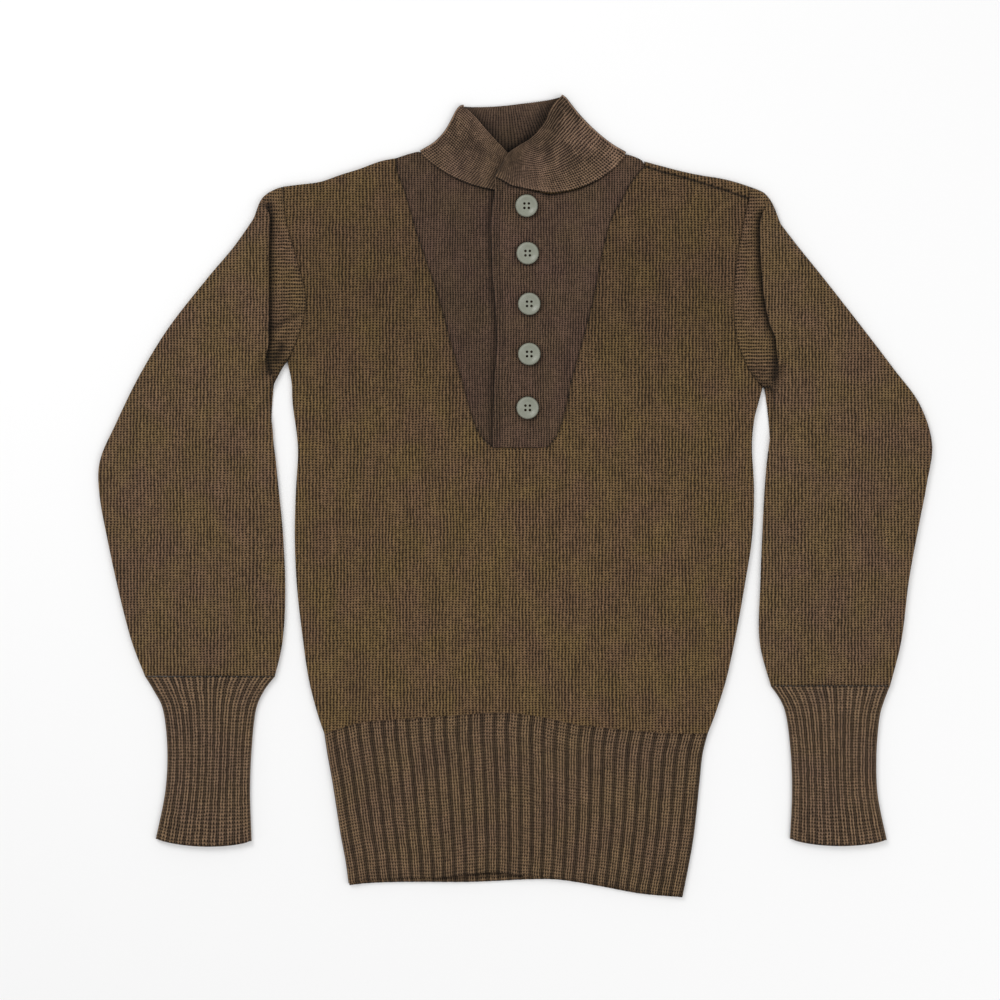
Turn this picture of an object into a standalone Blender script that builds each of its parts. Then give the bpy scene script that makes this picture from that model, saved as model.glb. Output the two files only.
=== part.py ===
"""Henley sweater laid flat, front up: a knitted body, a chest insert with five buttons,
a stand collar, two sleeves folded at the armholes, ribbed cuffs and a ribbed hem.

Sizes and tables are in millimetres and MM turns them into metres. X runs along the chest,
Y runs from the hem to the collar and Z stands up from the table.
"""
import math

import bpy
import bmesh
from mathutils import Vector

MM = 0.001

# Cloth and the layers that lie on each other
KNIT = 2.2            # wall of the body and the sleeves
INSERT = 1.8          # wall of the finer chest insert
COLLAR = 2.8          # wall of the double collar band
COLLAR_PINCH = 0.4    # taken off the collar's inside where it folds
SLEEVE_PINCH = 0.35   # taken off the sleeves' inside where they fold
SEAM = 0.3            # space between two pieces at a seam
LAYER = 0.3           # space between two layers
FRONT_Z = KNIT + LAYER
EDGE_ROUND = (0.28, 0.72, 1.0)     # share of the wall at each of the first three columns
EDGE_INSET = (0.0, 1.2, 4.0)       # distance of those columns from a free side
MITRE = 0.8           # least cosine that a wall's corners are drawn out for

# Ribs
HEM_RIBS = 30
CUFF_RIBS = 11
RIB_RISE = 1.0
HEM_GROUND = 1.7      # wall of the hem between its ribs
CUFF_GROUND = 1.8     # wall of the cuffs between their ribs

# Buttons
BUTTON_RADIUS = 10.6
BUTTON_HEIGHT = 3.6
BUTTON_SEAT = 0.35    # space between the placket and a button
TILT_SEAT = 0.55      # the same for a button on the slope below the collar
HOLE_RADIUS = 1.35
HOLE_SPACING = 2.1

# Outline of the body, from the hem seam up to the underarm
SIDE_LEFT = [(-182, -225), (-189, -204), (-197, -172), (-203, -130), (-208, -85), (-210, -40),
             (-209, 5), (-207, 46), (-212, 88), (-213, 108), (-217, 128)]
SIDE_RIGHT = [(182, -225), (190, -204), (200, -172), (209, -130), (217, -85), (224, -40),
              (226, 5), (224, 46), (226, 72), (230, 88), (234, 103)]
LEVEL_ROW = 7         # the row of the sides that runs under the chest insert
PLACKET_LAP = (19, 33)    # the placket comes down from the button stand between these x
PLACKET_CLIMB = (258, 284)    # it climbs over the collar's end between these y
CLIMB_RISE = 1.8
RIGHT_LEG_LAP = (20, 54)  # the collar's right front comes down between these x

# Armholes, from the underarm up to the shoulder
ARMHOLE_LEFT = [(-217, 128), (-213, 137), (-207, 151), (-201, 170), (-199.5, 190), (-204, 210),
                (-210, 232), (-216, 252), (-220, 272), (-221, 291.2), (-221, 294)]
ARMHOLE_RIGHT = [(234, 103), (228.5, 110.5), (220, 123), (210.5, 146), (207, 172), (207.5, 198),
                 (210, 225), (215, 254), (221, 283), (222, 291.2), (222, 294)]

# Seams of the chest insert, from its foot up to the shoulders
V_LEFT = [(-22, 46.5), (-33, 57), (-41, 74), (-48, 99), (-54, 120), (-60, 140), (-67, 166),
          (-74, 190), (-81, 212), (-88, 232), (-96, 256), (-104, 285), (-112, 306), (-114, 321)]
V_RIGHT = [(30, 46.5), (39, 59), (46, 80), (53, 112), (61, 140),
           (72, 182), (77, 206), (82, 232), (90, 262), (100, 281), (110, 299), (122, 313.5)]
PLACKET_EDGE = [(-22, 46.5), (-22, 60), (-21.5, 82), (-20, 115), (-18, 145),
                (-19.5, 182), (-22, 206), (-23, 232), (-24, 255), (-22, 277), (-20, 292), (-20, 304)]


# Neck seams, from the middle to the shoulder folds of the collar
NECK_LEFT = [(11, 287), (-5, 288.4), (-21, 291), (-39, 295), (-58, 303), (-75, 314), (-84, 322)]
NECK_RIGHT = [(-20, 304), (-13, 300), (-5, 295), (6, 292), (18, 289), (30, 287), (42, 288),
              (56, 291), (69, 296), (82, 304), (91, 312), (97, 319)]
NECK_BACK = [(-91, 328), (-75, 322), (-50, 316), (-20, 313), (10, 313), (45, 315), (80, 321),
             (103, 326)]

# Collar: its free edge above each stretch of the neck seam, and its two folds
TOP_LEFT = [(11, 307), (-3, 320), (-14, 331), (-25, 342), (-34, 352), (-43, 361), (-50, 366)]
TOP_RIGHT = [(-7, 325), (-1, 329.5), (6, 334), (12, 338), (18, 343), (22.5, 349), (26, 355),
             (28.5, 361), (31, 366), (33.5, 370), (36, 373), (39, 376)]
TOP_BACK = [(-51, 369), (-40, 369), (-26, 369.5), (-10, 370.7), (4, 372.3), (17, 373.7),
            (30, 375.5), (41, 378)]
FOLD_LEFT = [(-91, 328.5), (-77, 335.5), (-67, 346), (-60, 358), (-54, 370)]
FOLD_RIGHT = [(104, 326.5), (90, 334), (75, 346), (60, 361), (43.5, 380.4)]

# Hem, from the viewer's left to the right
HEM_SEAM = [(-182, -225), (-150, -215), (-122, -212), (-63, -208), (-14, -205), (24, -209),
            (62, -217), (113, -222), (150, -225), (182, -225)]
HEM_SIDE_LEFT = [(-159, -367), (-162, -345), (-167, -318), (-174, -273), (-179, -245), (-181.7, -227)]
HEM_SIDE_RIGHT = [(158, -379), (163, -355), (169, -320), (174, -273), (177, -245), (181.7, -227)]
HEM_FOOT_FRONT = [(-159, -367), (-139, -363.5), (-110, -362), (-72, -361), (-46, -358), (-19, -356),
                  (5, -359), (42, -362), (80, -367), (118, -374), (158, -379)]
HEM_FOOT_BACK = [(-158, -369), (-139, -367), (-110, -366), (-72, -366), (-46, -366), (-19, -365),
                 (13, -363.5), (42, -364), (80, -370), (118, -377), (158, -380.5)]

# Shoulder lines at the outline, and the seam that lies forward of the right one
SHOULDER_LEFT = [(-221, 294), (-205, 296), (-186, 298.5), (-167, 305), (-148, 311), (-129, 318),
                 (-114, 321)]
SHOULDER_RIGHT = [(122, 318), (137, 314), (156, 309), (175, 305), (194, 302), (210, 298),
                  (222, 294)]
FORWARD_SEAM = [(122, 313.5), (137, 308.5), (156, 303.5), (175, 298), (194, 292), (210, 286.5),
                (221, 283)]

# Sleeves. Each row is a ring: outer x, outer y, inner x, inner y
RINGS_LEFT = [(-249, 264, -234.5, 91), (-268, 237, -234, 85), (-294, 206, -233, 79),
              (-330, 160, -232, 72), (-358, 114, -231, 63), (-380, 69, -230, 50),
              (-395, 34, -228, 34), (-395.5, 2, -225, 4), (-388, -40, -221, -38),
              (-377, -91, -219, -91), (-365, -137, -221.5, -137), (-352, -171, -229, -171)]
RINGS_RIGHT = [(251, 259, 245.2, 92), (268, 237, 245, 85), (293, 206, 244, 79),
               (329, 160, 243, 71), (358, 122, 241.5, 61), (383, 88, 240, 48),
               (395, 50, 238, 32), (390, 12, 236, 8), (382, -30, 234, -30),
               (373, -80, 232, -80), (366, -136, 231, -136), (355, -180, 242, -180)]
# The fold that lies over each armhole, from its foot to the shoulder
CREASE_LEFT = [(-233, 112), (-236, 133), (-235, 150), (-235, 201), (-235, 235), (-234, 268),
               (-238, 285)]
CREASE_RIGHT = [(246, 107), (247, 124), (247, 148), (241, 164), (236, 188), (233, 221),
                (232, 257), (236, 285)]
# The short stretch of outline beside the armhole, above it and below it
CAP_LEFT = [(-221.3, 294), (-228, 292), (-237, 287), (-243, 280), (-249, 264)]
CAP_RIGHT = [(222.3, 294), (230, 291), (237, 287), (244, 277), (251, 259)]
PIT_LEFT = [(-217.4, 128), (-221, 123), (-226, 114), (-230.5, 105), (-233.5, 95)]
PIT_RIGHT = [(234.4, 103.2), (238, 103.8), (241.5, 103), (244, 100), (245.2, 95.5)]
TUCK_RISE = 5.6       # how far the folded sleeve stands above the cloth beside the armhole
TUCK_CLEAR = 4.0      # least step between the first rings beyond the crease
# Rings beside the armhole: how far out from the crease, the share of the rise, and the share
# of the way to the first full ring on the back of the sleeve
TUCK_RINGS = [("strip", -6.0, 0.0, 0.15), ("foot", -4.0, 0.0, 0.33), ("low", -2.3, 0.22, 0.42),
              ("high", -0.5, 0.82, 0.52), ("over", 1.6, 1.0, 0.62)]
# The share of the rise at each column from the underarm to the shoulder
TUCK_LIFT = [0.0, 0.7, 1.0, 1.0, 1.0, 1.0, 1.0, 1.0, 0.8, 0.0]

# Cuffs. Each row is a ring: outer x, inner x, y of the outer end, y of the inner end
CUFF_LEFT = [(-351.5, -229.5, -171.4, -171.4), (-344, -239, -184, -184),
             (-335, -247, -203, -203), (-331, -251, -240, -240),
             (-333, -252.5, -280, -280), (-342, -251, -325, -327)]
CUFF_RIGHT = [(354.5, 242.5, -180.4, -180.4), (349.5, 251.5, -194, -194),
              (345, 257, -211, -211), (342.2, 261, -246, -246),
              (343.5, 262, -284, -284), (352, 260, -326, -325)]
CUFF_BELLY = 5.0      # how much lower the middle of the cast-on edge hangs

# Soft ridges of the cloth: start x, start y, end x, end y, half width, height
RIDGES = [(-150, 250, -120, 60, 34, 1.6), (-60, 20, -30, -170, 30, 1.4),
          (70, 20, 60, -170, 34, 1.4), (150, 230, 165, 60, 30, 1.6),
          (-160, -10, -150, -170, 24, 1.3), (170, -10, 158, -170, 24, 1.3),
          (-205, 167, -233, 150, 7, 2.4), (-120, -196, 120, -198, 11, 1.2),
          (0, 230, 8, 120, 20, 0.5), (-302, 120, -345, 20, 30, 1.4),
          (-262, 90, -268, -110, 26, 1.6), (-345, 0, -330, -140, 24, 1.5),
          (300, 120, 345, 25, 30, 1.4), (276, 80, 282, -115, 26, 1.6),
          (352, 0, 338, -140, 22, 1.5), (-60, -359, -8, -358, 16, 2.2)]

BUTTONS = [("button_1", 10, 275.5), ("button_2", 11, 230.5), ("button_3", 12.5, 182.5),
           ("button_4", 12.5, 135), ("button_5", 11, 84)]

COLOURS = {
    "body": (0.099, 0.061, 0.030), "insert": (0.077, 0.047, 0.030),
    "collar": (0.088, 0.056, 0.037), "rib": (0.090, 0.058, 0.034),
    "sleeve": (0.104, 0.065, 0.034), "button": (0.17, 0.172, 0.135)}


def material(name, colour, roughness):
    """A plain finish with a colour and a roughness."""
    finish = bpy.data.materials.new(name)
    finish.use_nodes = True
    shader = finish.node_tree.nodes["Principled BSDF"]
    shader.inputs["Base Color"].default_value = (*colour, 1.0)
    shader.inputs["Roughness"].default_value = roughness
    shader.inputs["Metallic"].default_value = 0.0
    return finish


def clear_scene():
    """Take away the objects that the scene starts with."""
    for thing in list(bpy.data.objects):
        bpy.data.objects.remove(thing, do_unlink=True)


def along(points, share):
    """The point of a line at a share of its length."""
    lengths = [math.dist(a, b) for a, b in zip(points, points[1:])]
    want = share * sum(lengths)
    for a, b, length in zip(points, points[1:], lengths):
        if want <= length:
            return tuple(p + (q - p) * want / length for p, q in zip(a, b))
        want -= length
    return tuple(points[-1])


def shares(points):
    """How far along a line each of its points lies, from 0 to 1."""
    far = [0.0]
    for a, b in zip(points, points[1:]):
        far.append(far[-1] + math.dist(a, b))
    return [d / far[-1] for d in far]


def spread(start, end, count):
    """Even steps from one value to another, both ends included."""
    return [start + (end - start) * i / count for i in range(count + 1)]


def mix(a, b, share):
    """The point between two points at a share of the way."""
    return tuple(p + (q - p) * share for p, q in zip(a, b))


def moved(points, dx, dy):
    """A line moved sideways."""
    return [(x + dx, y + dy) for x, y in points]


def ramp(value, start, end):
    """A smooth step from 0 at start to 1 at end."""
    share = min(1.0, max(0.0, (value - start) / (end - start)))
    return share * share * (3 - 2 * share)


def relief(x, y):
    """Height of the soft ridges at a place."""
    height = 0.0
    for x0, y0, x1, y1, width, rise in RIDGES:
        dx, dy = x1 - x0, y1 - y0
        share = ((x - x0) * dx + (y - y0) * dy) / (dx * dx + dy * dy)
        share = min(1.0, max(0.0, share))
        gap = math.hypot(x - x0 - share * dx, y - y0 - share * dy)
        height += rise * math.exp(-(gap / width) ** 2)
    return min(height, 2.6)


def patch(foot, top, left, right):
    """Rows of plan points that fill the space between four edges."""
    rows = []
    foot_share, top_share = shares(foot), shares(top)
    for j, (a, b) in enumerate(zip(left, right)):
        v = j / (len(left) - 1)
        row = []
        for i, (c, d) in enumerate(zip(foot, top)):
            u = (1 - v) * foot_share[i] + v * top_share[i]
            place = []
            for k in (0, 1):
                ruled = (1 - v) * c[k] + v * d[k] + (1 - u) * a[k] + u * b[k]
                corners = ((1 - u) * (1 - v) * foot[0][k] + u * (1 - v) * foot[-1][k]
                           + (1 - u) * v * top[0][k] + u * v * top[-1][k])
                place.append(ruled - corners)
            row.append(tuple(place))
        rows.append(row)
    return rows


def make_object(name, shape, finish, collection):
    """An object from a bmesh that was modelled in millimetres."""
    bmesh.ops.scale(shape, vec=(MM, MM, MM), verts=shape.verts)
    mesh = bpy.data.meshes.new(name)
    shape.to_mesh(mesh)
    shape.free()
    mesh.materials.append(finish)
    mesh.shade_smooth()
    mesh.set_sharp_from_angle(angle=math.radians(50))
    thing = bpy.data.objects.new(name, mesh)
    collection.objects.link(thing)
    return thing


def wall(name, grids, finish, collection):
    """A closed cloth wall from grids whose cells hold an under point and an upper point.

    Grids that share an edge have the same points there and grow together.
    """
    shape = bmesh.new()
    verts = {}
    uses = {}

    def corner(pair):
        key = tuple(round(c, 2) for c in pair[0] + pair[1])
        if key not in verts:
            verts[key] = (shape.verts.new(pair[0]), shape.verts.new(pair[1]))
        return key

    for grid in grids:
        keys = [[corner(pair) for pair in row] for row in grid]
        for near, far in zip(keys, keys[1:]):
            for i in range(len(near) - 1):
                loop = [near[i], near[i + 1], far[i + 1], far[i]]
                loop = [k for n, k in enumerate(loop) if k != loop[n - 1]]
                if len(loop) < 3:
                    continue
                shape.faces.new([verts[k][1] for k in loop])
                shape.faces.new([verts[k][0] for k in reversed(loop)])
                for a, b in zip(loop, loop[1:] + loop[:1]):
                    uses[(a, b)] = uses.get((a, b), 0) + 1
    for a, b in uses:
        if (b, a) not in uses:
            shape.faces.new((verts[b][1], verts[a][1], verts[a][0], verts[b][0]))
    bmesh.ops.recalc_face_normals(shape, faces=shape.faces)
    return make_object(name, shape, finish, collection)


def shell(name, rows, inside, outside, facing, first, last, finish, collection):
    """A cloth wall built on both sides of rows of points.

    Its first and last rows are cut square to the directions first and last.
    """
    middle = bmesh.new()
    verts = {}

    def corner(place):
        key = tuple(round(c, 2) for c in place)
        if key not in verts:
            verts[key] = middle.verts.new(place)
        return verts[key]

    grid = [[corner(place) for place in row] for row in rows]
    for near, far in zip(grid, grid[1:]):
        for i in range(len(near) - 1):
            middle.faces.new((near[i], near[i + 1], far[i + 1], far[i]))
    middle.normal_update()
    pairs = []
    for number, row in enumerate(grid):
        square = {0: first, len(grid) - 1: last}.get(number)
        line = []
        for vert in row:
            tilt = min(abs(vert.normal.dot(face.normal)) for face in vert.link_faces)
            step = vert.normal * facing
            if square is not None:
                step -= square * step.dot(square)
                step.normalize()
            step /= max(tilt, MITRE)
            under, upper = vert.co - step * inside, vert.co + step * outside
            under.z, upper.z = max(0.0, under.z), max(0.0, upper.z)
            line.append((tuple(under), tuple(upper)))
        pairs.append(line)
    middle.free()
    return wall(name, [pairs], finish, collection)


def edge_share(distance):
    """How much of the wall stands at a distance from a free side."""
    for i in (0, 1):
        if distance < EDGE_INSET[i + 1]:
            part = (distance - EDGE_INSET[i]) / (EDGE_INSET[i + 1] - EDGE_INSET[i])
            return EDGE_ROUND[i] + (EDGE_ROUND[i + 1] - EDGE_ROUND[i]) * max(0.0, part)
    return 1.0


def columns(a, b, count, inset_a, inset_b):
    """Points from a to b, with the inset columns at an end that is a free side."""
    length = math.dist(a, b)
    far = []
    if inset_a:
        far += EDGE_INSET[:2]
    first = EDGE_INSET[2] if inset_a else 0.0
    last = length - (EDGE_INSET[2] if inset_b else 0.0)
    far += spread(first, last, count)
    if inset_b:
        far += [length - EDGE_INSET[1], length]
    return [tuple(p + (q - p) * d / length for p, q in zip(a, b)) for d in far]


def resample(points, like):
    """Points of a line at the same shares of its length as those of another line."""
    return [along(points, s) for s in shares(like)]


def chest_columns():
    """Columns of the front at the foot of the insert: west of it, under it and east of it."""
    west = columns(SIDE_LEFT[LEVEL_ROW], V_LEFT[0], 6, True, False)
    east = columns(V_RIGHT[0], SIDE_RIGHT[LEVEL_ROW], 6, False, True)
    return west, [V_LEFT[0], (-4, 46.5), (13, 46.5), V_RIGHT[0]], east


def front_foot():
    """Points of the front panel along the hem seam."""
    west, middle, east = chest_columns()
    return resample(HEM_SEAM, west + middle[1:-1] + east)


def body_grids():
    """Plan rows of the front panel: under the insert, and to each side of it."""
    low_left = SIDE_LEFT[:LEVEL_ROW + 1]
    low_right = SIDE_RIGHT[:LEVEL_ROW + 1]
    west, middle, east = chest_columns()
    low = patch(front_foot(), west + middle[1:-1] + east, low_left, low_right)

    high_left = SIDE_LEFT[LEVEL_ROW:-1] + ARMHOLE_LEFT
    top_west = resample(SHOULDER_LEFT, west)
    left = patch(west, top_west, high_left, V_LEFT)

    high_right = SIDE_RIGHT[LEVEL_ROW:-1] + ARMHOLE_RIGHT[:-2]
    right = patch(east, resample(FORWARD_SEAM, east), V_RIGHT, high_right)
    return low, left, right


def side_distance(x, y):
    """Distance from the free sides of the body, or far away at a seam."""
    nearest = 99.0
    for side in (SIDE_LEFT, SIDE_RIGHT):
        for (x0, y0), (x1, y1) in zip(side, side[1:]):
            dx, dy = x1 - x0, y1 - y0
            share = ((x - x0) * dx + (y - y0) * dy) / (dx * dx + dy * dy)
            if -0.001 <= share <= 1.001:
                gap = math.hypot(x - x0 - share * dx, y - y0 - share * dy)
                nearest = min(nearest, gap)
    return nearest


def front_pair(x, y):
    """Under point and upper point of the front panel."""
    base = FRONT_Z + relief(x, y)
    share = edge_share(side_distance(x, y))
    return ((x, y, base), (x, y, base + KNIT * share))


def back_pair(x, y):
    """Under point and upper point of the back panel where it lies on the table."""
    share = edge_share(side_distance(x, y))
    return ((x, y, KNIT * (1 - share)), (x, y, KNIT))


def make_front(finish, collection):
    """Front panel with the V for the insert cut out of it."""
    grids = [[[front_pair(x, y) for x, y in row] for row in grid] for grid in body_grids()]
    wall("front_panel", grids, finish, collection)


def back_top():
    """Points of the back panel along its top, from shoulder to shoulder."""
    east = chest_columns()[2]
    reach = KNIT + LAYER / 2
    shoulder = moved(resample(SHOULDER_RIGHT, east), 0, -reach)
    neck = [(-94, 323)] + moved(NECK_BACK[1:-1], 0, -2 * SEAM) + [(106, 319)]
    return SHOULDER_LEFT + neck, shoulder


def back_foot():
    """Points of the back panel along the hem seam."""
    neck, shoulder = back_top()
    plain = len(neck) + len(shoulder) - 6
    near = [d / (2 * SIDE_RIGHT[0][0]) for d in EDGE_INSET]
    steps = near + spread(0, 1, plain + 1)[1:-1] + [1 - d for d in reversed(near)]
    return [along(HEM_SEAM, s) for s in steps]


def make_back(finish, collection):
    """Back panel, and the strip of it that comes over the right shoulder."""
    neck, shoulder = back_top()
    left = SIDE_LEFT[:-1] + ARMHOLE_LEFT
    right = SIDE_RIGHT[:-1] + ARMHOLE_RIGHT
    right[-1] = shoulder[-1]
    flat = patch(back_foot(), neck + shoulder, left, right)
    plain = [[back_pair(x, y) for x, y in row] for row in flat]
    plain[-1][len(neck):] = [((x, y, 0.0), (x, y, KNIT)) for x, y in shoulder]
    over = []
    inner, outer = LAYER / 2, KNIT + LAYER / 2
    for angle in (0, 45, 90, 135, 180):
        s, c = math.sin(math.radians(angle)), math.cos(math.radians(angle))
        over.append([((x, y + outer * s, outer - outer * c), (x, y + inner * s, outer - inner * c))
                     for x, y in shoulder])
    seam = resample(FORWARD_SEAM, chest_columns()[2])
    end = []
    for (x, y), (sx, sy) in zip(shoulder, seam):
        stop = min(sy + SEAM, y - 0.4)
        end.append(((sx, stop, FRONT_Z + KNIT), (sx, stop, FRONT_Z)))
    over.append(end)
    wall("back_panel", [plain, over], finish, collection)


def placket_rise(y):
    """How far the placket half of the insert stands above the other half's underside."""
    return INSERT + LAYER + CLIMB_RISE * ramp(y, *PLACKET_CLIMB)


def make_inserts(finish, collection):
    """The two halves of the chest insert, the right one lapped over the left one."""
    left_side = [(x + SEAM * 1.2, y) for x, y in V_LEFT]
    left_side[0] = (V_LEFT[0][0] + SEAM, V_LEFT[0][1] + SEAM)
    top = [left_side[-1], (-100, 325.5), (-91, 327)]
    top += moved(list(reversed(NECK_LEFT)), -0.1, -1.2 * SEAM)
    foot = [(x, V_LEFT[0][1] + SEAM) for x in spread(left_side[0][0], 9, len(top) - 1)]
    stand = [along([foot[-1], top[-1]], s) for s in shares(V_LEFT)]
    rows = patch(foot, top, left_side, stand)
    grid = [[((x, y, FRONT_Z + relief(x, y)), (x, y, FRONT_Z + relief(x, y) + INSERT))
             for x, y in row] for row in rows]
    wall("insert_left", [grid], finish, collection)

    right_side = [(x - SEAM * 1.2, y) for x, y in V_RIGHT]
    right_side[0] = (V_RIGHT[0][0] - SEAM, V_RIGHT[0][1] + SEAM)
    edge = list(PLACKET_EDGE)
    edge[0] = (edge[0][0] + 0.1, V_LEFT[0][1] + SEAM)
    edge[-1] = (NECK_RIGHT[0][0] + 0.2, NECK_RIGHT[0][1] - 1.2 * SEAM)
    top = [edge[-1]] + moved(NECK_RIGHT[1:], 0.2, -1.3 * SEAM)
    top += [(104, 324.5), (118.5, 317.8), right_side[-1]]
    foot = [(x, V_LEFT[0][1] + SEAM) for x in spread(edge[0][0], right_side[0][0], len(top) - 1)]
    rows = patch(foot, top, edge, right_side)
    grid = []
    for row in rows:
        line = []
        for x, y in row:
            lap = 1 - ramp(x, *PLACKET_LAP)
            base = FRONT_Z + relief(x, y) + lap * placket_rise(y)
            line.append(((x, y, base), (x, y, base + INSERT)))
        grid.append(line)
    wall("insert_right", [grid], finish, collection)


def collar_height(x, front_right):
    """Middle of the collar wall on one of its front legs."""
    leg = COLLAR * 1.5 + 0.4
    if not front_right:
        return leg
    return leg + (COLLAR + 0.5) * (1 - ramp(x, *RIGHT_LEG_LAP))


def make_collar(finish, collection):
    """One band: left front, fold, back, fold, right front."""
    low = COLLAR / 2
    leg = collar_height(999, False)
    turn = (leg - low) / 2
    rows = []
    levels = (0.0, 0.25, 0.5, 0.75, 1.0)
    west_inside = insets([along(FOLD_LEFT, t) for t in levels], turn, -1)
    east_inside = insets([along(FOLD_RIGHT, t) for t in levels], turn, 1)
    for number, t in enumerate(levels):
        west, east = along(FOLD_LEFT, t), along(FOLD_RIGHT, t)
        row = []
        starts = [NECK_LEFT, NECK_BACK, list(reversed(NECK_RIGHT))]
        tops = [TOP_LEFT, TOP_BACK, list(reversed(TOP_RIGHT))]
        bow_west = bow(FOLD_LEFT, t)
        bow_east = bow(FOLD_RIGHT, t)
        lines = []
        for k, (start, top) in enumerate(zip(starts, tops)):
            steps = shares(start)
            line = []
            for s, a, b in zip(steps, start, top):
                x = a[0] + (b[0] - a[0]) * t
                y = a[1] + (b[1] - a[1]) * t
                lean_w = {0: s, 1: 1 - s, 2: 0.0}[k]
                lean_e = {0: 0.0, 1: s, 2: 1 - s}[k]
                x += bow_west[0] * lean_w + bow_east[0] * lean_e
                y += bow_west[1] * lean_w + bow_east[1] * lean_e
                line.append((x, y))
            lines.append(line)
        lines[0][-1] = lines[1][0] = west_inside[number]
        lines[1][-1] = lines[2][0] = east_inside[number]
        for x, y in lines[0]:
            row.append((x, y, leg))
        row += fold_points(lines[0][-1], west, turn, low + turn, 1)
        for x, y in lines[1]:
            row.append((x, y, low))
        row += fold_points(lines[1][-1], east, turn, low + turn, -1)
        for x, y in lines[2]:
            row.append((x, y, collar_height(x, True)))
        rows.append(row)
    up = Vector((0.0, 1.0, 0.0))
    shell("collar", rows, COLLAR / 2 - COLLAR_PINCH, COLLAR / 2, -1, up, up, finish, collection)


def bow(line, t):
    """How far a fold strays from the straight line between its ends."""
    place = along(line, t)
    return tuple(p - (a + (b - a) * t) for p, a, b in zip(place, line[0], line[-1]))


def fold_points(inside, edge, turn, middle, way):
    """Three points round a fold, from the upper layer down when way is 1."""
    out = []
    for angle in (45, 0, -45):
        c, s = math.cos(math.radians(angle)), math.sin(math.radians(angle))
        out.append((inside[0] + (edge[0] - inside[0]) * c, inside[1] + (edge[1] - inside[1]) * c,
                    middle + way * turn * s))
    return out


def rim_share(x, row):
    """How much of a hem's wall stands at a place in one of its rows."""
    return min(1.0, 0.3 + min(x - row[0][0], row[-1][0] - x) / 5.0)


def make_hem(finish, collection):
    """The two hem ribs, the front one with its raised ribs."""
    fractions = []
    for rib in range(HEM_RIBS):
        fractions += [(rib + part) / HEM_RIBS for part in (0.0, 0.12, 0.48, 0.60)]
    fractions.append(1.0)
    raised = [0.0, 1.0, 1.0, 0.0] * HEM_RIBS + [0.0]
    seam = moved(front_foot(), 0, -1.3 * SEAM)
    seam[0] = (HEM_SIDE_LEFT[-1][0], seam[0][1])
    seam[-1] = (HEM_SIDE_RIGHT[-1][0], seam[-1][1])
    side_left = [along(HEM_SIDE_LEFT, s) for s in (0, 0.05, 0.5, 0.92, 1)]
    side_right = [along(HEM_SIDE_RIGHT, s) for s in (0, 0.05, 0.5, 0.92, 1)]
    side_left[-1], side_right[-1] = seam[0], seam[-1]
    fade = (0.5, 1.0, 1.0, 0.9, 0.2)
    foot = [along(HEM_FOOT_FRONT, s) for s in fractions]
    top = [along(seam, s) for s in fractions]
    rows = patch(foot, top, side_left, side_right)
    grid = []
    for row, strength in zip(rows, fade):
        line = []
        for (x, y), rise in zip(row, raised):
            rim = rim_share(x, row)
            base = FRONT_Z + relief(x, y)
            height = HEM_GROUND * rim + RIB_RISE * rise * strength * rim
            line.append(((x, y, base), (x, y, base + height)))
        grid.append(line)
    wall("hem_rib_front", [grid], finish, collection)

    top = moved(back_foot(), 0, -1.3 * SEAM)
    top[0], top[-1] = seam[0], seam[-1]
    foot = resample(HEM_FOOT_BACK, top)
    side_left[0] = HEM_FOOT_BACK[0]
    side_right[0] = HEM_FOOT_BACK[-1]
    rows = patch(foot, top, side_left, side_right)
    grid = []
    for row in rows:
        line = []
        for x, y in row:
            rim = rim_share(x, row)
            line.append(((x, y, KNIT * (1 - rim)), (x, y, KNIT)))
        grid.append(line)
    wall("hem_rib_back", [grid], finish, collection)


def sleeve_height(reach, lift, side):
    """Middle of the upper wall of a sleeve at a distance out from the crease."""
    drop = 1 - 0.4 * ramp(reach, 5, 22) - 0.6 * ramp(reach, 20, 70)
    puff = 1.9 * math.sin(math.pi * side) ** 0.7 * ramp(reach, 20, 70)
    return TUCK_RISE * drop * lift + puff


def insets(path, turn, hand):
    """Points a turn's radius inside a fold, square to it; hand 1 is its left side."""
    inside = []
    for i, here in enumerate(path):
        before, after = path[max(0, i - 1)], path[min(len(path) - 1, i + 1)]
        dx, dy = after[0] - before[0], after[1] - before[1]
        length = math.hypot(dx, dy)
        inside.append((here[0] - hand * dy / length * turn, here[1] + hand * dx / length * turn))
    return inside


def tuck_ring(kind, offset, layer, arm, crease, steps, outward, high):
    """Upper side of one ring beside the armhole."""
    upper = []
    for k, s in enumerate(steps):
        x, y = along(crease, s)
        if kind == "armhole":
            x, y = arm[k]
        elif kind == "strip":
            x, y = (arm[k][0] + x + outward * offset) / 2, (arm[k][1] + y) / 2
        else:
            x += outward * offset
        z = high + layer * TUCK_RISE * TUCK_LIFT[k] + relief(x, y) * (1.0 - 0.5 * layer)
        upper.append((x, y, z))
    return upper


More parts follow.
